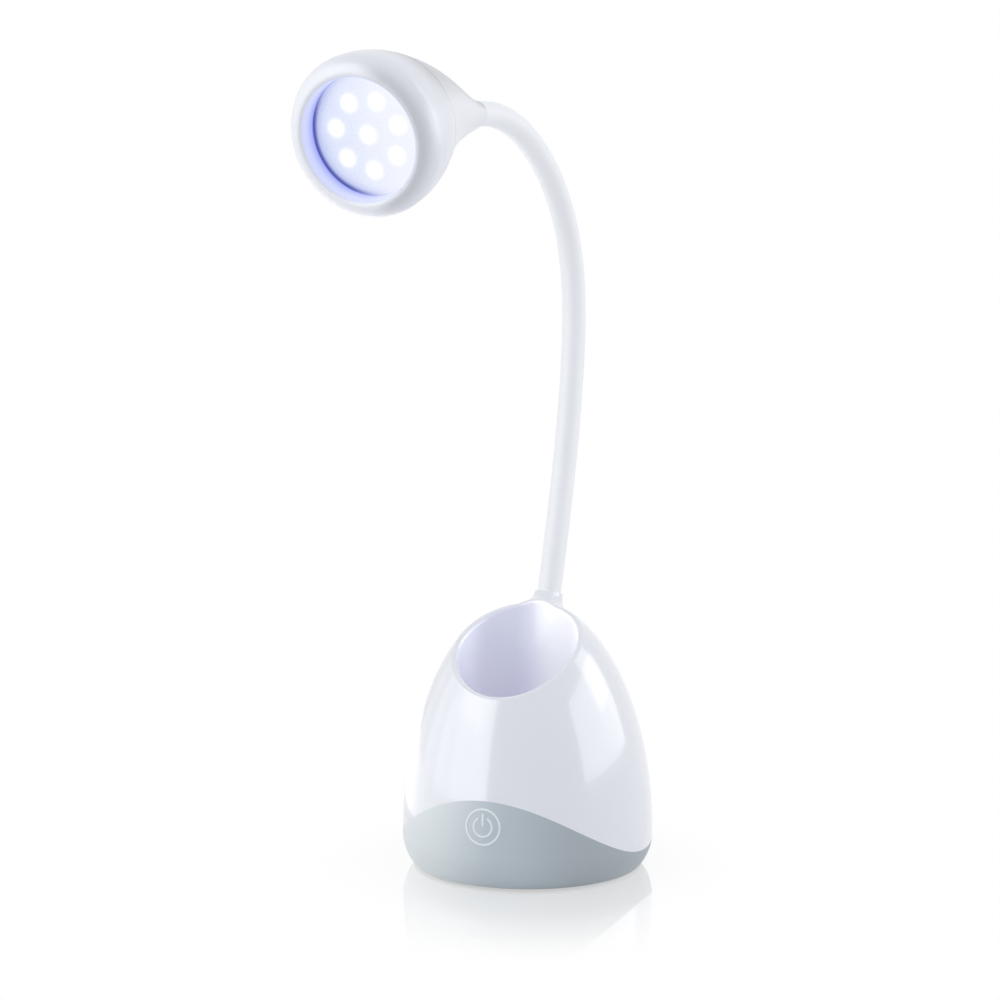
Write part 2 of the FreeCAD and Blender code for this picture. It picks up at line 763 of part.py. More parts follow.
# ---------------------------------------------------------------- gooseneck
class Link:
    """One length of the neck: where it starts and ends, and how it bends forward between."""

    def __init__(self, number, start, angle, length, bend):
        self.number = number
        self.start = start
        self.angle = angle
        self.bend = math.radians(bend)
        self.length = length
        self.radius = length / self.bend
        self.centre = start + ahead(angle) * self.radius
        self.end_angle = angle + self.bend
        self.end = self.centre - ahead(self.end_angle) * self.radius

    def elbow(self, name, radius):
        """The link's stretch of round bar."""
        bar = doc.addObject("Part::Torus", name)
        bar.Radius1 = self.radius
        bind(bar, Radius2=radius)
        bar.Angle3 = math.degrees(self.bend)
        turn = FreeCAD.Rotation(-1 * ahead(self.angle), leaning(self.angle), SIDEWAYS, "ZXY")
        bar.Placement = FreeCAD.Placement(self.centre, turn)
        return bar


def neck_links():
    lengths = [S["neck_root_length"].number]
    lengths += [S["neck_link_length"].number] * (len(NECK_BEND_ANGLES) - 2)
    lengths += [S["neck_tip_length"].number]
    start, angle, links = collar_top, root_angle, []
    for number, (length, bend) in enumerate(zip(lengths, NECK_BEND_ANGLES), start=1):
        links.append(Link(number, start, angle, length, bend))
        start, angle = links[-1].end, links[-1].end_angle
    return links


links = neck_links()
tip, tip_angle = links[-1].end, links[-1].end_angle
tip_axis = leaning(tip_angle)


def ball(name, radius, place):
    made = doc.addObject("Part::Sphere", name)
    bind(made, Radius=radius)
    made.Placement.Base = place
    return made


def link_bar(link, name, radius, root_insert, tip_insert):
    """A link's round bar with a ball on its lower end, or a straight stub where the neck ends."""
    pieces = [link.elbow(name + "_bend", radius)]
    if link.number == 1:
        pieces.append(stub(name + "_foot", radius, root_insert, link.start, -1 * root_axis))
    else:
        pieces.append(ball(name + "_ball", radius, link.start))
    if link.number == len(links) and tip_insert:
        pieces.append(stub(name + "_head", radius, tip_insert, link.end, tip_axis))
    return fuse(name + "_bar", *pieces)


def wire_passage(link):
    """The way through a link for the leads that run up to the lights."""
    name = "neck_passage_%d" % link.number
    radius = S["wire_passage"] * half
    below = S["core_insert"] if link.number == 1 else S["neck_diameter"] * half
    pieces = [link.elbow(name + "_bend", radius),
              stub(name + "_foot", radius, below + overshoot, link.start, -1 * leaning(link.angle))]
    if link.number == len(links):
        pieces.append(stub(name + "_head", radius, S["core_insert"] + overshoot, link.end, tip_axis))
    return fuse(name, *pieces)


def make_neck_link(link):
    """A length of silicone sleeve and the steel core in it. The ball on a length's lower end turns
    in the hollow end of the length below."""
    sleeve_name = "neck_sleeve_%d" % link.number
    core_name = "neck_core_%d" % link.number
    sleeve_radius = S["neck_diameter"] * half
    core_radius = S["core_diameter"] * half
    sleeve = link_bar(link, sleeve_name, sleeve_radius, S["sleeve_insert"], None)
    bore = link_bar(link, sleeve_name + "_bore", core_radius + S["core_clearance"], S["core_insert"],
                    S["core_insert"])
    core = link_bar(link, core_name, core_radius, S["core_insert"], S["core_insert"])
    tools = [wire_passage(link)]
    if link.number < len(links):
        tools.append(ball(sleeve_name + "_hollow", sleeve_radius + S["joint_gap"], link.end))
    return cut(sleeve_name, sleeve, bore, *tools), cut(core_name, core, *tools)


def make_nut(name, place, direction):
    """Six-sided nut on the core."""
    prism = doc.addObject("Part::Prism", name + "_blank")
    prism.Polygon = 6
    bind(prism, Circumradius=S["nut_width"] * half, Height=S["nut_thickness"])
    prism.Placement = FreeCAD.Placement(place, FreeCAD.Rotation(Z_AXIS, direction))
    thread = stub(name + "_thread", S["core_diameter"] * half + S["thread_clearance"],
                  S["nut_thickness"] + overshoot * 2, place - direction * overshoot, direction)
    return cut(name, prism, thread)


# ---------------------------------------------------------------- head
face_angle = tip_angle + math.radians(S["face_tilt_angle"].number)
face_axis = leaning(face_angle)
face_up = -1 * ahead(face_angle)
face_centre = tip + face_axis * S["head_reach"].number + face_up * S["head_drop"].number
head_turn = FreeCAD.Rotation(face_up, face_axis.cross(face_up), face_axis, "ZXY")
on_head = FreeCAD.Placement(face_centre, head_turn)
lens_back = -S["lens_thickness"]
spacer_back = lens_back - S["spacer_length"]
board_back = spacer_back - S["led_board_thickness"]
sink_back = board_back - S["heat_sink_thickness"]
seam_back = -S["head_seam_setback"]
lens_pocket = S["lens_diameter"] * half + S["head_clearance"]
bezel_bore = S["head_seam_diameter"] * half - S["bezel_wall"]


def make_head_bezel():
    """Fat round front ring: a recess down to the lens in front, a stepped pocket behind it."""
    return turned("head_bezel", [
        (lens_pocket, 0),
        (lens_pocket, board_back),
        (bezel_bore, board_back),
        (bezel_bore, seam_back),
        (S["head_seam_diameter"] * half, seam_back),
        (S["bulge_diameter"] * half, S["bulge_rise"], S["bezel_back_radius"]),
        (S["rim_crest_diameter"] * half, S["recess_depth"], S["bezel_front_radius"]),
        (S["rim_crest_diameter"] * half - S["rim_roll_width"],
         S["recess_depth"] - S["rim_roll_depth"], S["rim_roll_radius"]),
        (S["lens_view_diameter"] * half, 0),
    ], on_head)


def disc(name, radius, front, back):
    return turned(name, [(0, back), (radius, back), (radius, front), (0, front)], on_head)


def make_lens():
    return disc("lens", S["lens_diameter"] * half, Size(0, "0"), lens_back)


def make_lens_spacer():
    outside = S["lens_diameter"] * half
    inside = outside - S["spacer_wall"]
    return turned("lens_spacer", [
        (inside, spacer_back), (outside, spacer_back), (outside, lens_back), (inside, lens_back),
    ], on_head)


def make_led_board():
    return disc("led_board", S["lens_diameter"] * half, spacer_back, board_back)


def make_leds():
    """One light in the middle and a ring round it, each a low dome on its board."""
    ring = S["led_circle"].number * half
    places = [V(0, 0, 0)]
    for number in range(LED_RING_COUNT):
        angle = 2 * math.pi * number / LED_RING_COUNT + math.radians(S["led_first_angle"].number)
        places.append(V(ring * math.cos(angle), ring * math.sin(angle), 0))
    lights = []
    edge = S["led_size"] * half
    rise = S["led_dome"] * half
    for number, place in enumerate(places, start=1):
        light = turned("led_%d" % number, [
            (0, spacer_back), (edge, spacer_back), (edge, spacer_back + rise),
            (0, spacer_back + rise * 2, (edge * edge + rise * rise) / (rise * 2)),
        ])
        light.Placement = on_head.multiply(FreeCAD.Placement(place, FreeCAD.Rotation()))
        lights.append(light)
    return group("leds", *lights)


def make_heat_sink():
    """Aluminium disc behind the lights' board, with a raised middle."""
    wide = bezel_bore - S["head_clearance"]
    return turned("heat_sink", [
        (0, sink_back - S["heat_sink_thickness"]), (wide * half, sink_back - S["heat_sink_thickness"]),
        (wide * half, sink_back), (wide, sink_back), (wide, board_back), (0, board_back),
    ], on_head)


def cone_place(share):
    """The middle of the cone, its lean and its radius at a share of the way from seam to neck."""
    seam_centre = face_centre - face_axis * S["head_seam_setback"].number
    reach = (seam_centre - tip).Length
    lead_out = seam_centre - face_axis * (reach * S["cone_fullness_ratio"].number)
    lead_in = tip + tip_axis * (reach * S["cone_tip_run_ratio"].number)
    left = 1 - share
    place = (seam_centre * left ** 3 + lead_out * (3 * share * left ** 2)
             + lead_in * (3 * share ** 2 * left) + tip * share ** 3)
    wide = S["head_seam_diameter"].number * half
    narrow = S["cone_tip_diameter"].number * half
    radius = narrow + (wide - narrow) * left ** S["cone_hollow_power"].number
    return place, face_angle + (tip_angle - face_angle) * share, radius


def cone_rings(name, inset, last_share):
    """The rings that the head's rear cone is lofted through, from the seam to the neck."""
    rings = []
    for number in range(CONE_RING_COUNT):
        place, angle, radius = cone_place(last_share * number / (CONE_RING_COUNT - 1))
        made = doc.addObject("Part::Circle", "%s_ring_%d" % (name, number + 1))
        made.Radius = radius - inset
        made.Placement = FreeCAD.Placement(place, FreeCAD.Rotation(Z_AXIS, leaning(angle)))
        rings.append(made)
    return rings


def lofted(name, rings):
    made = doc.addObject("Part::Loft", name)
    made.Sections = rings
    made.Solid = True
    return made


def make_head_housing():
    """Rear shell: a cone that draws down, hollow-sided, to the neck, with a spigot into the bezel."""
    outside = lofted("cone_outside", cone_rings("cone_outside", 0.0, 1.0))
    inside = lofted("cone_inside", cone_rings("cone_inside", S["head_wall"].number,
                                              S["cone_cavity_ratio"].number))
    spigot_radius = bezel_bore - S["head_clearance"]
    spigot_hollow = spigot_radius - S["head_wall"]
    spigot_front = sink_back - S["head_clearance"]
    spigot_foot = seam_back - S["spigot_root"]
    spigot = turned("cone_spigot", [
        (spigot_hollow, spigot_foot), (spigot_radius, spigot_foot),
        (spigot_radius, spigot_front), (spigot_hollow, spigot_front),
    ], on_head)
    throat = turned("cone_throat", [
        (0, seam_back - overshoot), (spigot_hollow, seam_back - overshoot),
        (spigot_hollow, spigot_front), (0, spigot_front),
    ], on_head)
    core_seat = stub("tip_core_seat", S["core_diameter"] * half + S["core_clearance"] * half,
                     S["core_insert"] + overshoot * 2, tip - tip_axis * overshoot, tip_axis)
    shell = cut("cone_shell", outside, inside)
    return cut("head_housing", fuse("cone_and_spigot", shell, spigot), throat, core_seat)


def make_head_nut():
    """The nut on the core's end, just clear of the floor of the cone's cavity."""
    floor = (cone_place(S["cone_cavity_ratio"].number)[0] - tip).dot(tip_axis)
    return make_nut("head_nut", tip + tip_axis * (floor + S["head_nut_gap"].number), tip_axis)


# ---------------------------------------------------------------- the whole lamp
def make_pieces():
    pieces = [
        make_upper_housing(), make_lower_housing(), make_base_plate(), make_foot_pad(), make_ballast(),
        make_ballast_screws(), make_housing_screws(), make_power_mark(), make_touch_board(),
        make_touch_spring(), make_touch_screws(), make_control_board(), make_control_screws(),
        make_power_inlet(), make_battery(), make_battery_holder(),
        make_nut("neck_nut", below_collar(S["collar_length"]).Base, -1 * root_axis),
        make_head_bezel(), make_lens(), make_lens_spacer(), make_led_board(), make_leds(),
        make_heat_sink(), make_head_housing(),
        make_head_nut(),
    ]
    for link in links:
        pieces.extend(make_neck_link(link))
    return pieces


def check_document():
    for thing in doc.Objects:
        if {"Invalid", "Error"} & set(thing.State):
            raise RuntimeError("%s did not build: %s" % (thing.Label, thing.State))


def check_piece(piece):
    if piece.Shape.isNull() or not piece.Shape.isValid() or not piece.Shape.Solids:
        raise RuntimeError("%s has no sound shape" % piece.Label)


pieces = make_pieces()
doc.recompute()
check_document()
os.makedirs("parts", exist_ok=True)
for piece in pieces:
    check_piece(piece)
    piece.Shape.exportStep("parts/%s.step" % piece.Label)
    print("%-18s %2d solids %10.1f mm3" % (piece.Label, len(piece.Shape.Solids), piece.Shape.Volume))
for link in links[1:]:
    joint_axis = SIDEWAYS if link.number % 2 == 0 else ahead(link.angle)
    place = tuple(round(part, 4) for part in link.start)
    print("joint at", link.number, place, tuple(round(part, 7) for part in joint_axis))
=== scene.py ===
import json
import math

import bpy
from mathutils import Matrix, Vector

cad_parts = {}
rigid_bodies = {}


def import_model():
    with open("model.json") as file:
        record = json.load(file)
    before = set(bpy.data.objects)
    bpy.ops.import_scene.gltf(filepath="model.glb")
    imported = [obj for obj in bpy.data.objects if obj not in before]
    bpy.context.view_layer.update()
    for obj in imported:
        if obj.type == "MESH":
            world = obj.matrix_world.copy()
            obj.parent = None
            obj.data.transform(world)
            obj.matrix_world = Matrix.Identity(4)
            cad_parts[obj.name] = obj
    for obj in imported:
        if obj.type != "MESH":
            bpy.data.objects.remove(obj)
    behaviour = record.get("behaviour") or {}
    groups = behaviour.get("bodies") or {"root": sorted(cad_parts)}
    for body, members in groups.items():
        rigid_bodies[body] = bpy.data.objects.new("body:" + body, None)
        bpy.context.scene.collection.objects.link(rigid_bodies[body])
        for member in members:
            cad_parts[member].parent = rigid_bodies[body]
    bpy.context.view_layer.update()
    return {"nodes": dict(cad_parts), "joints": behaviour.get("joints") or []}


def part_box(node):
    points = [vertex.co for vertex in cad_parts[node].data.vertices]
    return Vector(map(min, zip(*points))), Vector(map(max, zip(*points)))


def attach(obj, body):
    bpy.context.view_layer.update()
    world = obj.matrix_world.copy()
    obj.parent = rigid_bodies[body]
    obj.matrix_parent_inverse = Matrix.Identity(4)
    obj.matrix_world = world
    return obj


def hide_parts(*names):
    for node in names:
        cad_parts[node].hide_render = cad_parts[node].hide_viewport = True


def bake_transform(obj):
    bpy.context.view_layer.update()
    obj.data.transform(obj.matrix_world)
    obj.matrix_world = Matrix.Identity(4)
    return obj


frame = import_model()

# Desk lamp with a pen cup in its base: the finish of every piece, the neck's one-piece sleeve and hose,
# the head's turned shells and the studio. Metres, in the model's own frame: +Z up, -Y to the front.

bl_info = {
    "name": "Desk lamp with a pen cup",
    "version": (1, 0, 0),
    "blender": (4, 5, 0),
    "location": "3D View > Sidebar > Lamp",
    "description": "Makes the shells, sleeve, lights, finishes and studio of a gooseneck desk lamp",
    "category": "Object",
}

MM = 0.001
UP = Vector((0, 0, 1))


# ---------------------------------------------------------------- settings
class LampSizes(bpy.types.PropertyGroup):
    """Sizes of the pieces that are made here, all inside what the model's own solids take up."""

    sleeve_radius: bpy.props.FloatProperty(
        name="Sleeve radius", description="Outside of the neck's silicone sleeve",
        default=5.0 * MM, unit="LENGTH")
    hose_radius: bpy.props.FloatProperty(
        name="Hose radius", description="Outside of the wound steel hose in the sleeve",
        default=3.2 * MM, unit="LENGTH")
    hose_pitch: bpy.props.FloatProperty(
        name="Hose pitch", description="From one turn of the hose to the next",
        default=2.0 * MM, unit="LENGTH")
    sleeve_insert: bpy.props.FloatProperty(
        name="Sleeve insert", description="How far the sleeve goes down into the collar",
        default=6.0 * MM, unit="LENGTH")
    hose_insert: bpy.props.FloatProperty(
        name="Hose insert", description="How far the hose goes into the base and into the head",
        default=20.0 * MM, unit="LENGTH")
    edge_round: bpy.props.FloatProperty(
        name="Edge rounding", description="Radius along the edges of the head's two shells",
        default=0.35 * MM, unit="LENGTH")


class LampColours(bpy.types.PropertyGroup):
    """Colours of the lamp's main finishes."""

    shell: bpy.props.FloatVectorProperty(
        name="Shell", description="Glossy white plastic of the base and head",
        default=(0.865, 0.866, 0.886), size=3, subtype="COLOR", min=0, max=1)
    band: bpy.props.FloatVectorProperty(
        name="Band", description="Satin grey plastic under the seam",
        default=(0.46, 0.51, 0.528), size=3, subtype="COLOR", min=0, max=1)
    sleeve: bpy.props.FloatVectorProperty(
        name="Sleeve", description="White silicone of the neck",
        default=(0.885, 0.888, 0.885), size=3, subtype="COLOR", min=0, max=1)
    glow: bpy.props.FloatVectorProperty(
        name="Glow", description="Cold light that the lens gives between its lights",
        default=(0.73, 0.79, 0.98), size=3, subtype="COLOR", min=0, max=1)


class LampStudio(bpy.types.PropertyGroup):
    """Light and floor."""

    key_power: bpy.props.FloatProperty(
        name="Key light", description="Power of the large light on the left",
        default=2.2, subtype="POWER", min=0)
    rim_power: bpy.props.FloatProperty(
        name="Rim light", description="Power of the light on the right, behind the lamp",
        default=2.6, subtype="POWER", min=0)
    gloss_left: bpy.props.FloatProperty(
        name="Left strips", description="Power of the brightest strip on the left, seen only in gloss",
        default=4.6, subtype="POWER", min=0)
    gloss_far: bpy.props.FloatProperty(
        name="Far panel", description="Power of the panel low on the left, seen only in gloss",
        default=4.0, subtype="POWER", min=0)
    gloss_right: bpy.props.FloatProperty(
        name="Right panel", description="Power of the panel on the right that shows only in gloss",
        default=4.7, subtype="POWER", min=0)
    world_strength: bpy.props.FloatProperty(
        name="Surroundings", description="Strength of the light from all round", default=0.76, min=0)
    world_colour: bpy.props.FloatVectorProperty(
        name="Surroundings' colour", description="Colour of the light from all round",
        default=(0.90, 0.93, 1.0), size=3, subtype="COLOR", min=0, max=1)
    mirror: bpy.props.FloatProperty(
        name="Floor mirror", description="How much the floor mirrors beside the lamp",
        default=0.38, subtype="FACTOR", min=0, max=1)


class LampSettings(bpy.types.PropertyGroup):
    """Everything that a user would change."""

    sizes: bpy.props.PointerProperty(type=LampSizes)
    colours: bpy.props.PointerProperty(type=LampColours)
    studio: bpy.props.PointerProperty(type=LampStudio)


# ---------------------------------------------------------------- the neck's middle line
JOINTS = frame["joints"]
SIDEWAYS = Vector(JOINTS[0]["axis"]).normalized()
FORWARD = Vector((SIDEWAYS.y, -SIDEWAYS.x, 0)).normalized()
LINK_BODIES = [JOINTS[0]["parent"]] + [joint["child"] for joint in JOINTS]
ROOT_LENGTH = 15.6 * MM
ROOT_BEND = math.radians(1.2)
TIP_LENGTH = 14.0 * MM
TIP_BEND = math.radians(9.9)


def leaning(angle):
    """The direction in the neck's plane at this angle forward of upright."""
    return FORWARD * math.sin(angle) + UP * math.cos(angle)


def ahead(angle):
    """Square to leaning(angle) in the neck's plane, on the forward side."""
    return FORWARD * math.cos(angle) - UP * math.sin(angle)


def lean_of(direction):
    return math.atan2(direction.dot(FORWARD), direction.z)


class Arc:
    """A stretch of the middle line that bends evenly."""

    def __init__(self, start, angle, length, bend):
        self.start, self.angle, self.length, self.bend = start, angle, length, bend
        self.centre = start + ahead(angle) * (length / bend)

    def at(self, share):
        """The point and the lean at a share of the arc's length."""
        angle = self.angle + self.bend * share
        return self.centre - ahead(angle) * (self.length / self.bend), angle


def neck_arcs():
    """One arc for each length of the neck, from the collar to the head. Arcs meet at the joints, where
    each joint that bends sideways has an axis that gives the line's lean."""
    points = [Vector(joint["pos_m"]) for joint in JOINTS]
    chords = [lean_of(after - before) for before, after in zip(points, points[1:])]
    axis = Vector(JOINTS[1]["axis"])
    leans = [0.0, math.atan2(-axis.z, axis.dot(FORWARD))]
    leans[0] = 2 * chords[0] - leans[1]
    for chord in chords[1:]:
        leans.append(2 * chord - leans[-1])
    root_lean = leans[0] - ROOT_BEND
    root = points[0] - leaning(leans[0] - ROOT_BEND / 2) * ROOT_LENGTH
    arcs = [Arc(root, root_lean, ROOT_LENGTH, ROOT_BEND)]
    for here, (point, lean) in enumerate(zip(points[:-1], leans)):
        bend = leans[here + 1] - lean
        straight = (points[here + 1] - point).length
        arcs.append(Arc(point, lean, straight * (bend / 2) / math.sin(bend / 2), bend))
    arcs.append(Arc(points[-1], leans[-1], TIP_LENGTH, TIP_BEND))
    return arcs


ARCS = neck_arcs()
COLLAR_TOP = ARCS[0].start
TIP, TIP_LEAN = ARCS[-1].at(1.0)

# ---------------------------------------------------------------- the head's own frame
FACE_TILT = math.radians(10.1)
HEAD_REACH = 84.8 * MM
HEAD_DROP = 14.45 * MM
FACE_LEAN = TIP_LEAN + FACE_TILT
FACE = leaning(FACE_LEAN)
FACE_UP = -ahead(FACE_LEAN)
FACE_CENTRE = TIP + FACE * HEAD_REACH + FACE_UP * HEAD_DROP
LENS_RADIUS = 24.5 * MM
LENS_THICKNESS = 2.0 * MM
LENS_VIEW_RADIUS = 23.2 * MM
RING_BULGE = (31.1 * MM, 0.7 * MM)
RING_CREST = (25.9 * MM, 8.75 * MM)
RECESS_MOUTH = (23.5 * MM, 7.15 * MM)
RING_BACK_CURVE = 50.0 * MM
RING_FRONT_CURVE = 7.8 * MM
RING_ROLL_CURVE = 1.8 * MM
LIGHT_BOARD_FRONT = -6.0 * MM
LIGHT_BOARD_BACK = -7.6 * MM
HEAT_SINK_BACK = -10.6 * MM
PART_CLEARANCE = 0.1 * MM
SEAM_RADIUS = 27.25 * MM
SEAM_BACK = -17.6 * MM
SHELL_WALL = 2.0 * MM
BEZEL_BORE = 25.05 * MM
CONE_TIP_RADIUS = 5.4 * MM
CONE_FULLNESS = 0.42
CONE_TIP_RUN = 0.22
CONE_HOLLOW_POWER = 1.42
CONE_CAVITY_END = 0.7
LIGHT_CIRCLE = 13.6 * MM
LIGHT_COUNT = 7
LIGHT_FIRST = math.radians(29.0)


def on_head(across, height, out):
    """A place by its distance across to the right, up and out along the head's axis."""
    return FACE_CENTRE + SIDEWAYS * across + FACE_UP * height + FACE * out


def light_places():
    """Where the lights are, as (across, height): one in the middle and a ring round it."""
    yield 0.0, 0.0
    for number in range(LIGHT_COUNT):
        angle = LIGHT_FIRST + 2 * math.pi * number / LIGHT_COUNT
        yield -LIGHT_CIRCLE * math.sin(angle), LIGHT_CIRCLE * math.cos(angle)


# ---------------------------------------------------------------- the pen cup
CUP_RADIUS = 24.5 * MM
CUP_OFFSET = 12.25 * MM
CUP_FLOOR = 30.0 * MM
CUP_SIDE = Vector((0.934, 0.358, 0))


# ---------------------------------------------------------------- mesh helpers
def piece(name, points, faces, finish, sharp_turn=40.0):
    """A new smooth-shaded mesh object with its finish. Edges that turn more than this stay sharp."""
    mesh = bpy.data.meshes.new(name)
    mesh.from_pydata([tuple(point) for point in points], [], faces)
    mesh.validate()
    mesh.shade_smooth()
    mesh.set_sharp_from_angle(angle=math.radians(sharp_turn))
    mesh.materials.append(finish)
    made = bpy.data.objects.new(name, mesh)
    bpy.context.scene.collection.objects.link(made)
    return made


def joined_rings(rings, closed=False):
    """Points and quads of a skin stretched over rings of equal count. A closed skin's last ring meets
    its first one, and an open skin's ends are filled."""
    sides = len(rings[0])
    points = [point for ring in rings for point in ring]
    faces = []
    last = len(rings) if closed else len(rings) - 1
    for row in range(last):
        low, high = row * sides, (row + 1) % len(rings) * sides
        for side in range(sides):
            after = (side + 1) % sides
            faces.append((low + side, low + after, high + after, high + side))
    if not closed:
        faces.append(tuple(reversed(range(sides))))
        faces.append(tuple(range(last * sides, last * sides + sides)))
    return points, faces


def ring(centre, lean, radius, sides):
    """A round ring square to the neck's line."""
    across = ahead(lean)
    return [
        centre + SIDEWAYS * (radius * math.cos(turn)) + across * (radius * math.sin(turn))
        for turn in (2 * math.pi * side / sides for side in range(sides))
    ]


def tube(stations, inner_radius, sides):
    """A thick tube. Stations are (centre, lean, outer radius) from one end to the other."""
    rings = [ring(centre, lean, radius, sides) for centre, lean, radius in stations]
    rings += [ring(centre, lean, inner_radius, sides) for centre, lean, _ in reversed(stations)]
    return joined_rings(rings, closed=True)


def lathe(outline, sides, place):
    """A closed outline of (radius, height) turned once round. place(across, up, out) puts it."""
    rings = [
        [place(radius * math.cos(turn), radius * math.sin(turn), height)
         for turn in (2 * math.pi * side / sides for side in range(sides))]
        for radius, height in outline
    ]
    return joined_rings(rings, closed=True)


def arc_between(first, last, radius, steps):
    """Points after first, up to last, along the short arc that bulges to the right of the way there."""
    chord = Vector(last) - Vector(first)
    half = chord.length / 2
    reach = math.sqrt(max(radius * radius - half * half, 0.0))
    centre = (Vector(first) + Vector(last)) / 2 + Vector((-chord.y, chord.x)).normalized() * reach
    start = Vector(first) - centre
    turn = 2 * math.asin(min(half / radius, 1.0))
    return [tuple(centre + Matrix.Rotation(turn * step / steps, 2) @ start) for step in range(1, steps + 1)]


def softened(outline, radius, sharper_than=25.0, steps=4):
    """The closed outline with its sharp corners rounded off, by no more than a third of either side."""
    rounded = []
    count = len(outline)
    for here in range(count):
        before, corner, after = (Vector(outline[(here + step) % count]) for step in (-1, 0, 1))
        way_in, way_out = corner - before, after - corner
        if way_in.angle(way_out, 0.0) < math.radians(sharper_than):
            rounded.append(tuple(corner))
            continue
        back = min(radius, way_in.length / 3, way_out.length / 3)
        start, end = corner - way_in.normalized() * back, corner + way_out.normalized() * back
        for step in range(steps + 1):
            share = step / steps
            rounded.append(tuple(start * (1 - share) ** 2 + corner * (2 * share * (1 - share))
                                 + end * share ** 2))
    return rounded


def evened(outline, longest):
    """The closed outline with its long sides divided, so that no step is longer than this."""
    points = []
    for here, there in zip(outline, outline[1:] + outline[:1]):
        steps = max(1, math.ceil((Vector(there) - Vector(here)).length / longest))
        for step in range(steps):
            points.append(tuple(Vector(here).lerp(Vector(there), step / steps)))
    return points


# ---------------------------------------------------------------- shader helpers
class Wire:
    """A shader socket that takes part in Python expressions: each operator adds its Math node."""

    def __init__(self, tree, socket):
        self.tree = tree
        self.socket = socket

    def maths(self, operation, *values):
        node = self.tree.nodes.new("ShaderNodeMath")
        node.operation = operation
        for socket, value in zip(node.inputs, values):
            plug(self.tree, socket, value)
        return Wire(self.tree, node.outputs[0])

    def __add__(self, other):
        return self.maths("ADD", self, other)

    def __radd__(self, other):
        return self.maths("ADD", other, self)

    def __sub__(self, other):
        return self.maths("SUBTRACT", self, other)

    def __rsub__(self, other):
        return self.maths("SUBTRACT", other, self)

    def __mul__(self, other):
        return self.maths("MULTIPLY", self, other)

    def __rmul__(self, other):
        return self.maths("MULTIPLY", other, self)

    def __truediv__(self, other):
        return self.maths("DIVIDE", self, other)

    def __pow__(self, other):
        return self.maths("POWER", self, other)


def plug(tree, socket, value):
    """Links a wire to a socket, or sets the socket to a plain value."""
    if isinstance(value, Wire):
        tree.links.new(value.socket, socket)
    elif hasattr(socket.default_value, "__len__") and len(value) < len(socket.default_value):
        socket.default_value = (*value, 1.0)
    else:
        socket.default_value = value


class Finish:
    """A material in the making."""

    def __init__(self, name):
        self.material = bpy.data.materials.new(name)
        self.material.use_nodes = True
        self.tree = self.material.node_tree
        self.tree.nodes.clear()

    def node(self, kind, settings=None, output=0, **values):
        """Adds a node. Settings come first, then the values or links of its sockets by their names,
        with underscores for spaces, or by number as in_0, in_1."""
        made = self.tree.nodes.new(kind)
        for key, value in (settings or {}).items():
            setattr(made, key, value)
        for key, value in values.items():
            if key.startswith("in_"):
                socket = made.inputs[int(key[3:])]
            else:
                socket = made.inputs[key.replace("_", " ")]
            plug(self.tree, socket, value)
        return Wire(self.tree, made.outputs[output]) if len(made.outputs) else None

    def place(self):
        """Where the shaded point is on the object at rest."""
        return self.node("ShaderNodeTexCoord", output=3)

    def noise(self, scale, detail=2.0, roughness=0.5):
        return self.node("ShaderNodeTexNoise", Vector=self.place(), Scale=scale, Detail=detail,
                         Roughness=roughness)

    def blend(self, share, first, second):
        """A colour between two."""
        return self.node("ShaderNodeMix", {"data_type": "RGBA"}, output=2, in_0=share, in_6=first,
                         in_7=second)

    def smooth_step(self, value, low, high):
        """0 below low, 1 above high, and an even curve between."""
        return self.node("ShaderNodeMapRange", {"interpolation_type": "SMOOTHSTEP"}, Value=value,
                         From_Min=low, From_Max=high)

    def along(self, direction, origin):
        """How far the point lies from the origin in a direction."""
        off = self.node("ShaderNodeVectorMath", {"operation": "SUBTRACT"}, in_0=self.place(),
                        in_1=tuple(origin))
        return self.node("ShaderNodeVectorMath", {"operation": "DOT_PRODUCT"}, output=1, in_0=off,
                         in_1=tuple(direction))

    def bump(self, height, depth):
        """A normal for a relief this deep, in metres."""
        return self.node("ShaderNodeBump", Height=height, Distance=depth, Strength=1.0)

    def surface(self, **values):
        """Ends the material in a Principled shader."""
        shader = self.node("ShaderNodeBsdfPrincipled", **values)
        self.node("ShaderNodeOutputMaterial", Surface=shader)
        return self.material


def shade(colour, factor):
    """A colour made lighter or darker."""
    return tuple(min(part * factor, 1.0) for part in colour)


# ---------------------------------------------------------------- finishes
def glossy_white(colour):
    """Moulded white plastic with a deep gloss, the faintest orange peel and a slight flow in its tone, with
    painted shade and painted light inside the pen cup.
    """
    make = Finish("glossy_white_plastic")
    flow = make.noise(14.0, 3.0)
    haze = make.noise(55.0, 4.0, 0.6)
    peel = make.noise(420.0, 2.0)
    white = make.blend(flow, shade(colour, 0.985), shade(colour, 1.01))
    # Painted lavender shade inside the cup, over its left and middle, fading out towards its right wall.
    shaded = 1.0 - make.smooth_step(across_cup(make), 0.1, 0.65)
    return make.surface(
        Base_Color=make.blend(inside_cup(make) * shaded, white, (0.82, 0.82, 0.93)),
        Roughness=0.14 + haze * 0.08,
        Normal=make.bump(peel, 0.006 * MM),
        # Painted light: the inside of the cup glows, most at its right wall and near its mouth.
        Emission_Color=painted_cup_light(make), Emission_Strength=1.0,
        Coat_Weight=0.5, Coat_Roughness=0.04, IOR=1.5)


def inside_cup(make):
    """1 on the cup's wall and floor, where shade and light are painted, and 0 outside."""
    x, y, z = (make.node("ShaderNodeSeparateXYZ", output=part, Vector=make.place()) for part in range(3))
    back = y + CUP_OFFSET
    from_axis = (x * x + back * back) ** 0.5
    within = 1.0 - make.smooth_step(from_axis, CUP_RADIUS + 0.05 * MM, CUP_RADIUS + 0.9 * MM)
    return within * make.smooth_step(z, CUP_FLOOR - 1.0 * MM, CUP_FLOOR)


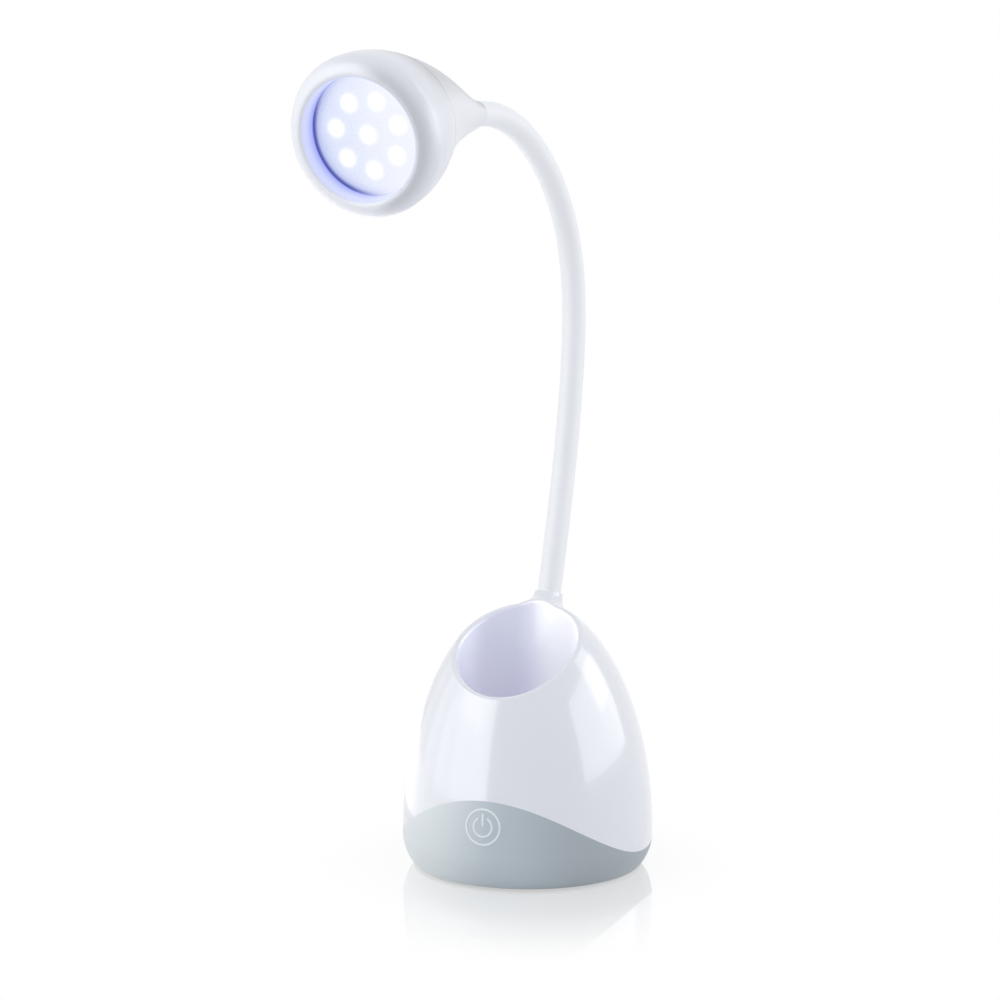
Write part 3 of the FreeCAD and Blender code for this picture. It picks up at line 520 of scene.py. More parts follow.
def across_cup(make):
    """Runs from -1 on the cup's left wall to 1 on its right."""
    return make.along(CUP_SIDE, Vector((0, -CUP_OFFSET, 0))) * (1.0 / CUP_RADIUS)


def painted_cup_light(make):
    """Painted light that makes the cup's inside glow: most at its right side, least left of its middle."""
    aside = across_cup(make)
    height = make.node("ShaderNodeSeparateXYZ", output=2, Vector=make.place())
    near_mouth = make.smooth_step(height, 75 * MM, 120 * MM) * 0.65 + 0.35
    left = make.blend(make.smooth_step(aside, -1.0, -0.5), (0.30, 0.30, 0.32), (0.02, 0.02, 0.03))
    colour = make.blend(make.smooth_step(aside, -0.05, 0.7), left, (0.40, 0.40, 0.40))
    return make.blend(inside_cup(make) * near_mouth, (0.0, 0.0, 0.0), colour)


def soft_white(colour):
    """The head's moulded white plastic: a softer sheen, cold light in the recess, and a little shade on
    the ring to the right of its mouth and along the top of the cone."""
    make = Finish("soft_white_plastic")
    flow = make.noise(14.0, 3.0)
    haze = make.noise(55.0, 4.0, 0.6)
    peel = make.noise(420.0, 2.0)
    across = make.along(SIDEWAYS, FACE_CENTRE)
    height = make.along(FACE_UP, FACE_CENTRE)
    out = make.along(FACE, FACE_CENTRE)
    from_axis = (across * across + height * height) ** 0.5
    mouth = RECESS_MOUTH[0]
    # Painted cold light and painted shade on the recess wall: dark blue where it meets the lens, violet
    # towards the mouth, paler to the right.
    wall = 1.0 - make.smooth_step(from_axis, mouth, mouth + 0.7 * MM)
    wall = wall * make.smooth_step(out, -0.5 * MM, 0.0)
    up_the_wall = make.smooth_step(out, 0.3 * MM, 1.6 * MM)
    to_the_mouth = make.smooth_step(out, 1.4 * MM, 6.0 * MM)
    violet = make.blend(to_the_mouth, (0.10, 0.11, 0.42), (0.26, 0.28, 0.44))
    cold = make.blend(up_the_wall, (0.0, 0.0, 0.08), violet)
    rightward = make.smooth_step(across, -12.0 * MM, 12.0 * MM)
    cold = make.blend(rightward, cold, (0.24, 0.25, 0.36))
    pale = rightward.maths("MAXIMUM", rightward, up_the_wall)
    tint = make.blend(pale, (0.14, 0.16, 0.36), (0.52, 0.54, 0.80))
    # Painted shade on the ring to the right of its mouth.
    crest = make.smooth_step(from_axis, mouth, mouth + 1.4 * MM)
    crest = crest * (1.0 - make.smooth_step(from_axis, mouth + 3.2 * MM, mouth + 7.2 * MM))
    crest = crest * make.smooth_step(across, 2.0 * MM, 14.0 * MM) * make.smooth_step(out, 0.0, 3.0 * MM)
    white = make.blend(flow, shade(colour, 0.985), shade(colour, 1.01))
    white = make.blend(crest, white, shade(colour, 0.77))
    # Painted shade along the top of the cone.
    back = out * (-1.0 / HEAD_REACH)
    above = height + back * back * HEAD_DROP
    ridge = make.smooth_step(above / (above * above + across * across) ** 0.5, 0.24, 0.74)
    ridge = ridge * (1.0 - make.smooth_step(out, -16.0 * MM, -3.0 * MM))
    white = make.blend(ridge, white, shade(colour, 0.69))
    return make.surface(
        Base_Color=make.blend(wall, white, tint),
        Roughness=0.32 + haze * 0.1,
        Normal=make.bump(peel, 0.006 * MM),
        Emission_Color=make.blend(wall, (0.0, 0.0, 0.0), cold), Emission_Strength=1.0,
        Coat_Weight=0.12, Coat_Roughness=0.2, IOR=1.5)


def satin_grey(colour):
    """Grey plastic with a fine spark-eroded grain, with painted light that makes it paler to the left and
    painted shade that makes it darker to the right.
    """
    make = Finish("satin_grey_plastic")
    flow = make.noise(20.0, 3.0)
    grain = make.noise(2600.0, 3.0, 0.7)
    haze = make.noise(70.0, 4.0, 0.6)
    # Painted light makes the band paler to the left, and painted shade makes it darker to the right.
    aside = make.along(CUP_SIDE, Vector((0, 0, 0)))
    tone = make.smooth_step(aside, -50 * MM, -10 * MM)
    tone = make.blend(tone, (0.83, 0.87, 0.85), shade(colour, 1.13))
    tone = make.blend(make.smooth_step(aside, -14 * MM, 28 * MM), tone, shade(colour, 0.86))
    return make.surface(
        Base_Color=make.blend(flow * 0.1, tone, shade(colour, 1.4)),
        Roughness=0.34 + haze * 0.1 + grain * 0.06,
        Normal=make.bump(grain, 0.012 * MM),
        IOR=1.46)


def silicone(colour):
    """Soft white silicone: satin, with a faint mottle, a fine dusty grain and a faint painted glow."""
    make = Finish("white_silicone")
    mottle = make.noise(90.0, 4.0, 0.6)
    grain = make.noise(1900.0, 2.0)
    return make.surface(
        Base_Color=make.blend(mottle, shade(colour, 0.98), shade(colour, 1.02)),
        Roughness=0.42 + mottle * 0.14,
        Normal=make.bump(grain, 0.01 * MM),
        # Painted light: a faint glow that lifts the sleeve's brightness.
        Emission_Color=(1.0, 1.0, 0.98), Emission_Strength=0.05,
        Sheen_Weight=0.15, Sheen_Roughness=0.5, IOR=1.41)


def pale_print():
    """Pale printed ink, a little uneven at its edges."""
    make = Finish("pale_print")
    fleck = make.noise(700.0, 3.0, 0.6)
    return make.surface(
        Base_Color=make.blend(fleck, (0.80, 0.85, 0.86), (0.88, 0.91, 0.92)),
        Roughness=0.3 + fleck * 0.15)


def plain_black():
    """Black moulded plastic with a coarse grain."""
    make = Finish("black_plastic")
    grain = make.noise(1300.0, 4.0, 0.7)
    scuff = make.noise(45.0, 5.0, 0.7)
    return make.surface(
        Base_Color=make.blend(scuff, (0.012, 0.012, 0.013), (0.026, 0.026, 0.028)),
        Roughness=0.5 + scuff * 0.2, Normal=make.bump(grain, 0.04 * MM))


def foot_rubber():
    """Foamed rubber: dull, with open pores and a little lint."""
    make = Finish("foot_rubber")
    pores = make.node("ShaderNodeTexVoronoi", {"feature": "F1"}, Vector=make.place(), Scale=1400.0)
    lint = make.smooth_step(make.noise(160.0, 5.0, 0.75), 0.62, 0.72)
    return make.surface(
        Base_Color=make.blend(lint, (0.022, 0.022, 0.024), (0.06, 0.06, 0.06)),
        Roughness=0.82 + lint * 0.1, Normal=make.bump(pores, 0.08 * MM))


def zinc_steel():
    """Zinc-plated steel with fine turning marks and a cloudy passivation."""
    make = Finish("zinc_plated_steel")
    cloud = make.noise(120.0, 4.0, 0.6)
    lines = make.node("ShaderNodeTexWave", {"bands_direction": "Z"}, Vector=make.place(), Scale=900.0,
                      Distortion=3.0, Detail=2.0)
    return make.surface(
        Base_Color=make.blend(cloud, (0.46, 0.47, 0.48), (0.62, 0.62, 0.6)), Metallic=1.0,
        Roughness=0.26 + cloud * 0.16, Normal=make.bump(lines, 0.01 * MM))


def bright_metal():
    """Nickel-plated metal with light handling marks."""
    make = Finish("nickel_plate")
    marks = make.noise(260.0, 5.0, 0.7)
    return make.surface(
        Base_Color=make.blend(marks, (0.6, 0.59, 0.57), (0.72, 0.71, 0.69)), Metallic=1.0,
        Roughness=0.16 + marks * 0.14, Normal=make.bump(marks, 0.006 * MM))


def turned_aluminium():
    """Aluminium faced off on a lathe: rings round the head's axis."""
    make = Finish("turned_aluminium")
    across = make.along(SIDEWAYS, FACE_CENTRE)
    height = make.along(FACE_UP, FACE_CENTRE)
    radius = (across * across + height * height) ** 0.5
    rings = make.node("ShaderNodeMath", {"operation": "SINE"}, in_0=radius * (2 * math.pi / (0.4 * MM)))
    cloud = make.noise(150.0, 4.0, 0.6)
    return make.surface(
        Base_Color=make.blend(cloud, (0.72, 0.73, 0.74), (0.8, 0.8, 0.81)), Metallic=1.0,
        Roughness=0.3 + cloud * 0.12, Normal=make.bump(rings, 0.01 * MM))


def green_board():
    """Circuit board: green resist over copper tracks, tinned where they are bare."""
    make = Finish("green_circuit_board")
    cells = make.node("ShaderNodeTexBrick", {"offset": 0.5, "squash": 1.0}, output=1, Vector=make.place(),
                      Scale=230.0, Mortar_Size=0.08, Mortar_Smooth=0.1)
    tracks = make.smooth_step(cells, 0.3, 0.7)
    weave = make.noise(900.0, 2.0)
    return make.surface(
        Base_Color=make.blend(tracks, (0.012, 0.11, 0.045), (0.03, 0.22, 0.09)),
        Roughness=0.24 + weave * 0.12, Normal=make.bump(tracks, 0.03 * MM))


def light_board():
    """White board behind the lights, lit by them: brightest near each one."""
    make = Finish("white_light_board")
    fleck = make.noise(500.0, 3.0)
    # Painted light: the board glows brighter near each light.
    near = nearness(make, 2.4 * MM, 9.0 * MM)
    return make.surface(
        Base_Color=make.blend(fleck, (0.8, 0.81, 0.86), (0.88, 0.89, 0.93)), Roughness=0.4 + fleck * 0.1,
        Emission_Color=make.blend(near, (0.55, 0.6, 0.95), (0.95, 0.96, 1.0)), Emission_Strength=0.7)


def nearness(make, near, far):
    """1 within the near distance of any light, seen along the head's axis, falling to 0 at the far one."""
    across = make.along(SIDEWAYS, FACE_CENTRE)
    height = make.along(FACE_UP, FACE_CENTRE)
    strongest = None
    for light_across, light_height in light_places():
        aside, above = across - light_across, height - light_height
        distance = (aside * aside + above * above) ** 0.5
        lit = 1.0 - make.smooth_step(distance, near, far)
        strongest = lit if strongest is None else lit.maths("MAXIMUM", strongest, lit)
    return strongest


def lit_dome():
    """A light's own frosted dome."""
    make = Finish("lit_dome")
    frost = make.noise(1500.0, 2.0)
    return make.surface(
        Base_Color=make.blend(frost, (0.95, 0.95, 0.9), (1.0, 1.0, 0.97)), Roughness=0.4 + frost * 0.2,
        Emission_Color=(1.0, 1.0, 1.0), Emission_Strength=3.0)


def frosted_lens(glow):
    """Frosted disc lit from behind: soft white patches over the lights, cold light between them, and
    the recess's shade along its left edge."""
    make = Finish("frosted_lens")
    # Painted light: glowing patches over the lights, a cold glow between them, paler to the right.
    patches = nearness(make, 2.0 * MM, 4.8 * MM)
    halo = nearness(make, 3.0 * MM, 10.0 * MM)
    across = make.along(SIDEWAYS, FACE_CENTRE)
    height = make.along(FACE_UP, FACE_CENTRE)
    from_axis = (across * across + height * height) ** 0.5
    frost = make.noise(800.0, 3.0)
    ground = make.blend(halo, shade(glow, 0.97), shade(glow, 1.06))
    rightward = make.smooth_step(across, -18.0 * MM, 14.0 * MM)
    ground = make.blend(rightward, ground, (0.95, 0.96, 0.97))
    # Painted shade of the recess wall along the lens's left edge, darkest in the corner.
    hidden = 1.0 - make.smooth_step(across * 0.9 + height * 0.4, -19.0 * MM, -2.0 * MM)
    edge = make.smooth_step(from_axis, 19.4 * MM, 23.0 * MM) * hidden
    corner = make.smooth_step(from_axis, 21.5 * MM, 23.0 * MM) * hidden * hidden
    ground = make.blend(edge, ground, (0.46, 0.51, 0.84))
    ground = make.blend(corner, ground, (0.12, 0.16, 0.50))
    return make.surface(
        Base_Color=make.blend(corner, (0.22, 0.23, 0.27), (0.06, 0.06, 0.12)), Roughness=0.22 + frost * 0.1,
        Emission_Color=make.blend(patches, ground, (1.25, 1.25, 1.25)), Emission_Strength=0.66,
        Normal=make.bump(frost, 0.002 * MM), Coat_Weight=0.15, Coat_Roughness=0.08)


def wrapped_cell():
    """Shrunk film round the cell, with the creases that shrinking leaves near its ends."""
    make = Finish("cell_wrap")
    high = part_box("battery")[1]
    height = make.node("ShaderNodeSeparateXYZ", output=2, Vector=make.place())
    end = make.smooth_step(height, high.z - 3 * MM, high.z - 1.2 * MM)
    creases = make.noise(300.0, 2.0)
    return make.surface(
        Base_Color=make.blend(end, (0.03, 0.1, 0.28), (0.62, 0.62, 0.6)), Metallic=end,
        Roughness=0.25 + creases * 0.15, Normal=make.bump(creases, 0.03 * MM))


def wound_steel():
    """Bare steel strip of the hose, oily and a little scratched."""
    make = Finish("wound_steel_hose")
    scratch = make.noise(420.0, 5.0, 0.7)
    return make.surface(
        Base_Color=make.blend(scratch, (0.34, 0.34, 0.35), (0.5, 0.5, 0.5)), Metallic=1.0,
        Roughness=0.24 + scratch * 0.2, Normal=make.bump(scratch, 0.01 * MM))


# ---------------------------------------------------------------- operators
def settings():
    return bpy.context.scene.lamp


def dress(finish, *nodes):
    """Gives nodes of the model a finish."""
    for name in nodes:
        node = frame["nodes"][name]
        node.data.materials.clear()
        node.data.materials.append(finish)


class LAMP_OT_dress_housings(bpy.types.Operator):
    """Finish the base's white dome, its grey band and the key printed on it"""

    bl_idname = "lamp.dress_housings"
    bl_label = "Base housings"

    def execute(self, context):
        colours = settings().colours
        dress(glossy_white(colours.shell), "upper_housing")
        dress(satin_grey(colours.band), "lower_housing")
        dress(pale_print(), "power_mark")
        return {"FINISHED"}


class LAMP_OT_dress_underside(bpy.types.Operator):
    """Finish the foot pad, the cover over the underside and the ballast"""

    bl_idname = "lamp.dress_underside"
    bl_label = "Underside"

    def execute(self, context):
        dress(foot_rubber(), "foot_pad")
        dress(plain_black(), "base_plate", "battery_holder")
        dress(zinc_steel(), "ballast", "ballast_screws", "housing_screws", "touch_screws",
              "control_screws", "neck_nut", "head_nut")
        return {"FINISHED"}


class LAMP_OT_dress_electronics(bpy.types.Operator):
    """Finish the boards, the contact spring, the charging socket and the cell"""

    bl_idname = "lamp.dress_electronics"
    bl_label = "Electronics"

    def execute(self, context):
        dress(green_board(), "touch_board", "control_board")
        dress(bright_metal(), "touch_spring", "power_inlet")
        dress(wrapped_cell(), "battery")
        dress(light_board(), "led_board")
        dress(turned_aluminium(), "heat_sink")
        return {"FINISHED"}


def neck_stations(first, last, radius_at, per_arc):
    """Stations along the neck from one (arc, share) to another."""
    stations = []
    whole_first, whole_last = first[0] + first[1], last[0] + last[1]
    steps = max(2, round((whole_last - whole_first) * per_arc))
    for step in range(steps + 1):
        along = whole_first + (whole_last - whole_first) * step / steps
        arc = min(int(along), len(ARCS) - 1)
        centre, lean = ARCS[arc].at(along - arc)
        run = sum(before.length for before in ARCS[:arc]) + ARCS[arc].length * (along - arc)
        stations.append((centre, lean, radius_at(run)))
    return stations


def straight_stations(start, lean, length, radius_at, run, steps):
    """Stations along a straight run that ends at the start point, or begins there if length is negative."""
    stations = []
    for step in range(steps):
        back = length * (1 - step / steps)
        stations.append((start - leaning(lean) * back, lean, radius_at(run - back)))
    return stations


def neck_pieces(name, radius_at, inner_radius, sides, per_arc, root_insert, tip_insert, insert_steps):
    """Makes a neck-long tube as pieces that meet halfway between joints, so that each crosses one joint.
    Gives (object, stations) pairs."""
    middle = 0.5
    finish, slot = NECK_FINISHES[name]
    made = []
    foot = straight_stations(COLLAR_TOP, ARCS[0].angle, root_insert, radius_at, 0.0, insert_steps)
    spans = [foot + neck_stations((0, 0.0), (0, middle), radius_at, per_arc)]
    for number in range(len(JOINTS)):
        spans.append(neck_stations((number, middle), (number + 1, middle), radius_at, per_arc))
    last = neck_stations((len(ARCS) - 1, middle), (len(ARCS) - 1, 1.0), radius_at, per_arc)
    if tip_insert:
        run = sum(arc.length for arc in ARCS)
        head = straight_stations(TIP, TIP_LEAN, -tip_insert, radius_at, run, insert_steps)
        last = last + list(reversed(head))
    spans.append(last)
    for number, stations in enumerate(spans):
        points, faces = tube(stations, inner_radius, sides)
        part = piece("%s_%d" % (name, number + 1), points, faces, finish())
        made.append((part, stations))
    return made


def ride_neck(made):
    """The first and last pieces are rigid with the first and last bodies, and each piece between has its
    place baked into its mesh and rides no body.
    """
    for number, (part, stations) in enumerate(made):
        if number == 0:
            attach(part, LINK_BODIES[0])
        elif number == len(made) - 1:
            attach(part, LINK_BODIES[-1])
        else:
            LINK_BODIES[number - 1]
            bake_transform(part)


SHARED_FINISHES = {}


def shared(name, build):
    """Builds a finish once and shares it."""
    if name not in SHARED_FINISHES:
        SHARED_FINISHES[name] = build()
    return SHARED_FINISHES[name]


NECK_FINISHES = {
    "sleeve": (lambda: shared("silicone", lambda: silicone(settings().colours.sleeve)), "neck_silicone"),
    "hose": (lambda: shared("wound_steel", wound_steel), "neck_hose"),
}


class LAMP_OT_make_sleeve(bpy.types.Operator):
    """Make the neck's unbroken silicone sleeve"""

    bl_idname = "lamp.make_sleeve"
    bl_label = "Neck sleeve"

    def execute(self, context):
        sizes = settings().sizes
        made = neck_pieces("sleeve", lambda run: sizes.sleeve_radius, sizes.hose_radius + 0.15 * MM, 40, 20,
                           sizes.sleeve_insert, 0.0, 2)
        for number, (part, _) in enumerate(made[:len(ARCS) - 1]):
            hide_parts("neck_sleeve_%d" % (number + 1))
        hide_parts("neck_sleeve_%d" % len(ARCS))
        ride_neck(made)
        return {"FINISHED"}


class LAMP_OT_make_hose(bpy.types.Operator):
    """Make the wound steel hose inside the sleeve, which holds the neck where it is put"""

    bl_idname = "lamp.make_hose"
    bl_label = "Neck hose"

    def execute(self, context):
        sizes = settings().sizes

        def wound(run):
            turn = 2 * math.pi * run / sizes.hose_pitch
            return sizes.hose_radius - 0.14 * MM * (1 + math.cos(turn))

        made = neck_pieces("hose", wound, 1.2 * MM, 20, 84, sizes.hose_insert, sizes.hose_insert, 60)
        for number, (part, _) in enumerate(made[:len(ARCS) - 1]):
            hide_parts("neck_core_%d" % (number + 1))
        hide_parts("neck_core_%d" % len(ARCS))
        ride_neck(made)
        return {"FINISHED"}


def bezel_outline():
    """The front ring's section, counter-clockwise: pocket, seam, fat outside, rolled mouth, recess."""
    pocket = LENS_RADIUS + PART_CLEARANCE
    seam = (SEAM_RADIUS, SEAM_BACK)
    outline = [(pocket, 0.0), (pocket, LIGHT_BOARD_BACK), (BEZEL_BORE, LIGHT_BOARD_BACK),
               (BEZEL_BORE, SEAM_BACK), seam]
    outline += arc_between(seam, RING_BULGE, RING_BACK_CURVE, 14)
    outline += arc_between(RING_BULGE, RING_CREST, RING_FRONT_CURVE, 20)
    outline += arc_between(RING_CREST, RECESS_MOUTH, RING_ROLL_CURVE, 8)
    outline += [(LENS_VIEW_RADIUS, 0.0)]
    return outline


class LAMP_OT_make_bezel(bpy.types.Operator):
    """Make the head's fat round front ring with the recess down to the lens"""

    bl_idname = "lamp.make_bezel"
    bl_label = "Head front ring"

    def execute(self, context):
        outline = evened(softened(bezel_outline(), settings().sizes.edge_round, 30.0), 1.5 * MM)
        points, faces = lathe(outline, 144, on_head)
        made = piece("bezel_shell", points, faces, head_white())
        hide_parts("head_bezel")
        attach(made, "head")
        return {"FINISHED"}


def head_white():
    return shared("soft_white", lambda: soft_white(settings().colours.shell))


def cone_station(share):
    """The middle of the head's cone, its lean and its radius, from the seam (0) to the neck (1)."""
    seam_middle = FACE_CENTRE + FACE * SEAM_BACK
    reach = (seam_middle - TIP).length
    lead_out = seam_middle - FACE * (reach * CONE_FULLNESS)
    lead_in = TIP + leaning(TIP_LEAN) * (reach * CONE_TIP_RUN)
    left = 1 - share
    middle = (seam_middle * left ** 3 + lead_out * (3 * share * left ** 2)
              + lead_in * (3 * share ** 2 * left) + TIP * share ** 3)
    radius = CONE_TIP_RADIUS + (SEAM_RADIUS - CONE_TIP_RADIUS) * left ** CONE_HOLLOW_POWER
    return middle, FACE_LEAN + (TIP_LEAN - FACE_LEAN) * share, radius


class LAMP_OT_make_cone(bpy.types.Operator):
    """Make the head's rear shell, which draws down to the neck, and its spigot in the front ring"""

    bl_idname = "lamp.make_cone"
    bl_label = "Head rear shell"

    def execute(self, context):
        edge = settings().sizes.edge_round
        sides, steps, bore = 144, 72, 3.25 * MM
        rings = [ring(cone_station(0.0)[0], FACE_LEAN, cone_station(0.0)[2] - edge, sides)]
        for step in range(1, 5):
            turn = math.pi / 2 * step / 4
            middle, lean, radius = cone_station(0.0)
            sunk = middle - leaning(lean) * (edge * (1 - math.cos(turn)))
            rings.append(ring(sunk, lean, radius - edge * (1 - math.sin(turn)), sides))
        for step in range(1, steps + 1):
            middle, lean, radius = cone_station(step / steps)
            rings.append(ring(middle, lean, radius, sides))
        rings.append(ring(TIP, TIP_LEAN, bore, sides))
        floor, lean, radius = cone_station(CONE_CAVITY_END)
        rings.append(ring(floor, lean, bore, sides))
        for step in range(24, -1, -1):
            middle, lean, radius = cone_station(CONE_CAVITY_END * step / 24)
            rings.append(ring(middle, lean, radius - SHELL_WALL, sides))
        points, faces = joined_rings(rings, closed=True)
        spigot_radius = BEZEL_BORE - PART_CLEARANCE
        spigot_front = HEAT_SINK_BACK - PART_CLEARANCE
        spigot = [(spigot_radius - SHELL_WALL, SEAM_BACK - 3 * MM), (spigot_radius, SEAM_BACK - 3 * MM),
                  (spigot_radius, spigot_front), (spigot_radius - SHELL_WALL, spigot_front)]
        more_points, more_faces = lathe(spigot, sides, on_head)
        faces += [tuple(len(points) + corner for corner in face) for face in more_faces]
        made = piece("cone_shell", points + more_points, faces, head_white())
        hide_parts("head_housing")
        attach(made, "head")
        return {"FINISHED"}


class LAMP_OT_make_lens(bpy.types.Operator):
    """Make the frosted lens, a little crowned in front"""

    bl_idname = "lamp.make_lens"
    bl_label = "Lens"

    def execute(self, context):
        crown, rings = 0.45 * MM, 22
        flat = LENS_VIEW_RADIUS - 0.4 * MM
        outline = [(0.01 * MM, -LENS_THICKNESS), (LENS_RADIUS, -LENS_THICKNESS), (LENS_RADIUS, 0.0),
                   (flat, 0.0)]
        for step in range(1, rings + 1):
            radius = flat * (1 - step / rings)
            outline.append((max(radius, 0.01 * MM), crown * (1 - (radius / flat) ** 2)))
        points, faces = lathe(softened(outline, 0.2 * MM, 50.0, 3), 96, on_head)
        glow = settings().colours.glow
        made = piece("lens_disc", points, faces, frosted_lens(glow))
        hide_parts("lens")
        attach(made, "head")
        return {"FINISHED"}


class LAMP_OT_make_lights(bpy.types.Operator):
    """Make the eight lights, each a frosted dome on a round foot, and finish the ring that spaces them"""

    bl_idname = "lamp.make_lights"
    bl_label = "Lights"

    def execute(self, context):
        dome, foot, rise = 2.2 * MM, 2.5 * MM, 1.6 * MM
        foot_top = 0.35 * MM
        points, faces = [], []
        for across, height in light_places():
            outline = [(0.01 * MM, 0.0), (foot, 0.0), (foot, foot_top), (dome, foot_top)]
            for step in range(1, 9):
                turn = math.pi / 2 * step / 8
                outline.append((max(dome * math.cos(turn), 0.01 * MM),
                                foot_top + (rise - foot_top) * math.sin(turn)))
            some_points, some_faces = lathe(outline, 32, lambda x, y, out: on_head(
                across + x, height + y, LIGHT_BOARD_FRONT + out))
            faces += [tuple(len(points) + corner for corner in face) for face in some_faces]
            points += some_points
        made = piece("light_domes", points, faces, lit_dome())
        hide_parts("leds")
        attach(made, "head")
        dress(head_white(), "lens_spacer")
        return {"FINISHED"}


# ---------------------------------------------------------------- studio
CAMERA_PLACE = Vector((442.1, -1184.1, 340.3)) * MM
CAMERA_AZIMUTH = math.radians(21.0)
CAMERA_PITCH = math.radians(8.4)
CAMERA_LENS = 111.157
SENSOR_WIDTH = 36.0
LEFT_STRIP_FIRST = math.radians(48.0)
LEFT_STRIP_STEP = math.radians(20.0)
LEFT_STRIP_SHARES = (1.0, 0.92, 0.74, 0.43, 0.15)
STRIP_LEVEL = 0.45
STRIP_SIZE = (2 * math.tan(LEFT_STRIP_STEP / 2), 1.5)
LAMP_MIDDLE = Vector((0, -0.03, 0.12))
TABLE_HALF = 2.5
MIRROR_FADES = (0.065, 0.15)
SHADOW_FADES = (0.045, 0.1)
MATT_SHARE = 0.1


def camera_side(right, back, up):
    """A direction given by how far right, back towards the camera and up it points."""
    to_right = Vector((math.cos(CAMERA_AZIMUTH), math.sin(CAMERA_AZIMUTH), 0))
    to_back = Vector((math.sin(CAMERA_AZIMUTH), -math.cos(CAMERA_AZIMUTH), 0))
    return to_right * right + to_back * back + UP * up


def area_light(name, place, target, size, power, only_in_gloss=False):
    """A rectangular light that the camera doesn't see."""
    data = bpy.data.lights.new(name, "AREA")
    data.shape = "RECTANGLE"
    data.size, data.size_y = size
    data.energy = power
    light = bpy.data.objects.new(name, data)
    light.location = place
    light.rotation_mode = "QUATERNION"
    light.rotation_quaternion = (target - place).to_track_quat("-Z", "Y")
    light.visible_camera = False
    light.visible_diffuse = not only_in_gloss
    bpy.context.scene.collection.objects.link(light)
    return light


def white_to_the_eye(tree, seen, lit):
    """Mixes two shaders: the first for rays from the camera, a mirror or glass, the second for the rest."""
    path = tree.nodes.new("ShaderNodeLightPath")
    camera, glossy, through = (Wire(tree, path.outputs[name]) for name in
                               ("Is Camera Ray", "Is Glossy Ray", "Is Transmission Ray"))
    mix = tree.nodes.new("ShaderNodeMixShader")
    plug(tree, mix.inputs[0], camera.maths("MAXIMUM", camera.maths("MAXIMUM", camera, glossy), through))
    tree.links.new(lit.socket, mix.inputs[1])
    tree.links.new(seen.socket, mix.inputs[2])
    return Wire(tree, mix.outputs[0])


def make_world(strength, colour):
    world = bpy.data.worlds.new("white_room")
    world.use_nodes = True
    tree = world.node_tree
    tree.nodes.clear()
    seen = tree.nodes.new("ShaderNodeBackground")
    lit = tree.nodes.new("ShaderNodeBackground")
    seen.inputs["Strength"].default_value = 1.0
    seen.inputs["Color"].default_value = (1.0, 1.0, 1.0, 1.0)
    lit.inputs["Color"].default_value = (*colour, 1.0)
    lit.inputs["Strength"].default_value = strength
    out = tree.nodes.new("ShaderNodeOutputWorld")
    mixed = white_to_the_eye(tree, Wire(tree, seen.outputs[0]), Wire(tree, lit.outputs[0]))
    tree.links.new(mixed.socket, out.inputs[0])
    bpy.context.scene.world = world


def make_floor(mirror):
    """White table top that mirrors the lamp faintly close by and keeps a soft shadow."""
    finish = Finish("white_table")
    far_off = finish.node("ShaderNodeVectorMath", {"operation": "LENGTH"}, output=1, in_0=finish.place())
    beside = 1.0 - finish.smooth_step(far_off, *MIRROR_FADES)
    close = 1.0 - finish.smooth_step(far_off, *SHADOW_FADES)
    white = finish.node("ShaderNodeEmission", Color=(1.0, 1.0, 1.0), Strength=1.0)
    gloss = finish.node("ShaderNodeBsdfGlossy", Color=(1.0, 1.0, 1.0), Roughness=0.05)
    matt = finish.node("ShaderNodeBsdfDiffuse", Color=(0.9, 0.9, 0.91))
    mirrored = finish.node("ShaderNodeMixShader", in_0=beside * mirror, in_1=white, in_2=gloss)
    shadowed = finish.node("ShaderNodeMixShader", in_0=close * MATT_SHARE, in_1=mirrored, in_2=matt)
    path = finish.tree.nodes.new("ShaderNodeLightPath")
    from_gloss = Wire(finish.tree, path.outputs["Is Glossy Ray"])
    seen = finish.node("ShaderNodeMixShader", in_0=from_gloss, in_1=shadowed, in_2=white)
    mixed = white_to_the_eye(finish.tree, seen, matt)
    finish.node("ShaderNodeOutputMaterial", Surface=mixed)
    corners = [(x * TABLE_HALF, y * TABLE_HALF, 0) for x, y in ((-1, -1), (1, -1), (1, 1), (-1, 1))]
    mesh = bpy.data.meshes.new("table_top")
    mesh.from_pydata(corners, [], [(0, 1, 2, 3)])
    mesh.materials.append(finish.material)
    floor = bpy.data.objects.new("table_top", mesh)
    bpy.context.scene.collection.objects.link(floor)


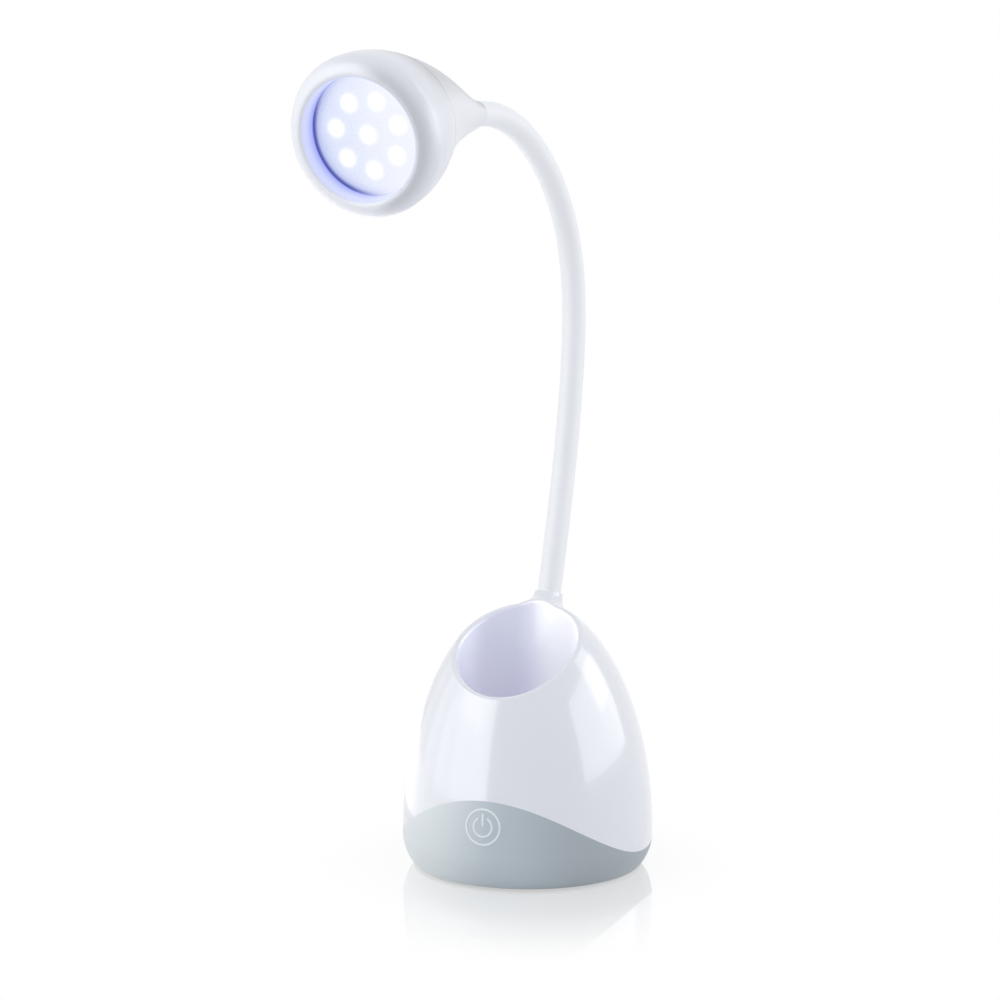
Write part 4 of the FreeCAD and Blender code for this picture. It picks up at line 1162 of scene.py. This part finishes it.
class LAMP_OT_set_stage(bpy.types.Operator):
    """Set the white table, the lights, the surroundings and the camera"""

    bl_idname = "lamp.set_stage"
    bl_label = "Studio"

    def execute(self, context):
        studio = settings().studio
        data = bpy.data.cameras.new("camera")
        data.sensor_width = SENSOR_WIDTH
        data.lens = CAMERA_LENS
        data.clip_end = 20.0
        camera = bpy.data.objects.new("camera", data)
        camera.location = CAMERA_PLACE
        camera.rotation_euler = (math.pi / 2 - CAMERA_PITCH, 0, CAMERA_AZIMUTH)
        context.scene.collection.objects.link(camera)
        context.scene.camera = camera
        make_world(studio.world_strength, studio.world_colour)
        make_floor(studio.mirror)
        key_side, rim_side = camera_side(-0.95, 0.35, 0.75), camera_side(1.0, -0.2, 0.7)
        area_light("key", LAMP_MIDDLE + key_side, LAMP_MIDDLE, (0.8, 0.9), studio.key_power)
        area_light("rim", LAMP_MIDDLE + rim_side, LAMP_MIDDLE, (0.5, 0.9), studio.rim_power)
        level = camera_side(0, 0, STRIP_LEVEL)
        for number, share in enumerate(LEFT_STRIP_SHARES):
            angle = LEFT_STRIP_FIRST + LEFT_STRIP_STEP * number
            place = level + camera_side(-math.sin(angle), math.cos(angle), 0)
            area_light("left_strip_%d" % (number + 1), place, level, STRIP_SIZE,
                       studio.gloss_left * share, True)
        area_light("right_panel", camera_side(0.995, 0.1, 0.4), camera_side(0, 0, 0.05), (1.25, 0.6),
                   studio.gloss_right, True)
        area_light("far_panel", camera_side(-0.57, 0.0, 0.002), camera_side(-0.57, 0.0, 1.0), (0.78, 1.5),
                   studio.gloss_far, True)
        context.scene.view_settings.view_transform = "Standard"
        return {"FINISHED"}


# ---------------------------------------------------------------- panel and registration
class LAMP_PT_panel(bpy.types.Panel):
    """Lists the lamp's pieces and settings"""

    bl_label = "Desk lamp"
    bl_idname = "LAMP_PT_panel"
    bl_space_type = "VIEW_3D"
    bl_region_type = "UI"
    bl_category = "Lamp"

    def draw(self, context):
        for title, group in (("Sizes", settings().sizes), ("Colours", settings().colours),
                             ("Studio", settings().studio)):
            box = self.layout.box()
            box.label(text=title)
            for key in group.__annotations__:
                box.prop(group, key)
        for operator in OPERATORS:
            self.layout.operator(operator.bl_idname)


GROUPS = (LampSizes, LampColours, LampStudio, LampSettings)
OPERATORS = (
    LAMP_OT_set_stage,
    LAMP_OT_dress_housings,
    LAMP_OT_dress_underside,
    LAMP_OT_dress_electronics,
    LAMP_OT_make_sleeve,
    LAMP_OT_make_hose,
    LAMP_OT_make_bezel,
    LAMP_OT_make_cone,
    LAMP_OT_make_lens,
    LAMP_OT_make_lights,
)


def register():
    for item in (*GROUPS, *OPERATORS, LAMP_PT_panel):
        bpy.utils.register_class(item)
    bpy.types.Scene.lamp = bpy.props.PointerProperty(type=LampSettings)


def unregister():
    del bpy.types.Scene.lamp
    for item in reversed((*GROUPS, *OPERATORS, LAMP_PT_panel)):
        bpy.utils.unregister_class(item)


def main():
    """Builds the whole lamp."""
    register()
    for operator in OPERATORS:
        group, name = operator.bl_idname.split(".")
        getattr(getattr(bpy.ops, group), name)()


if __name__ == "__main__":
    main()
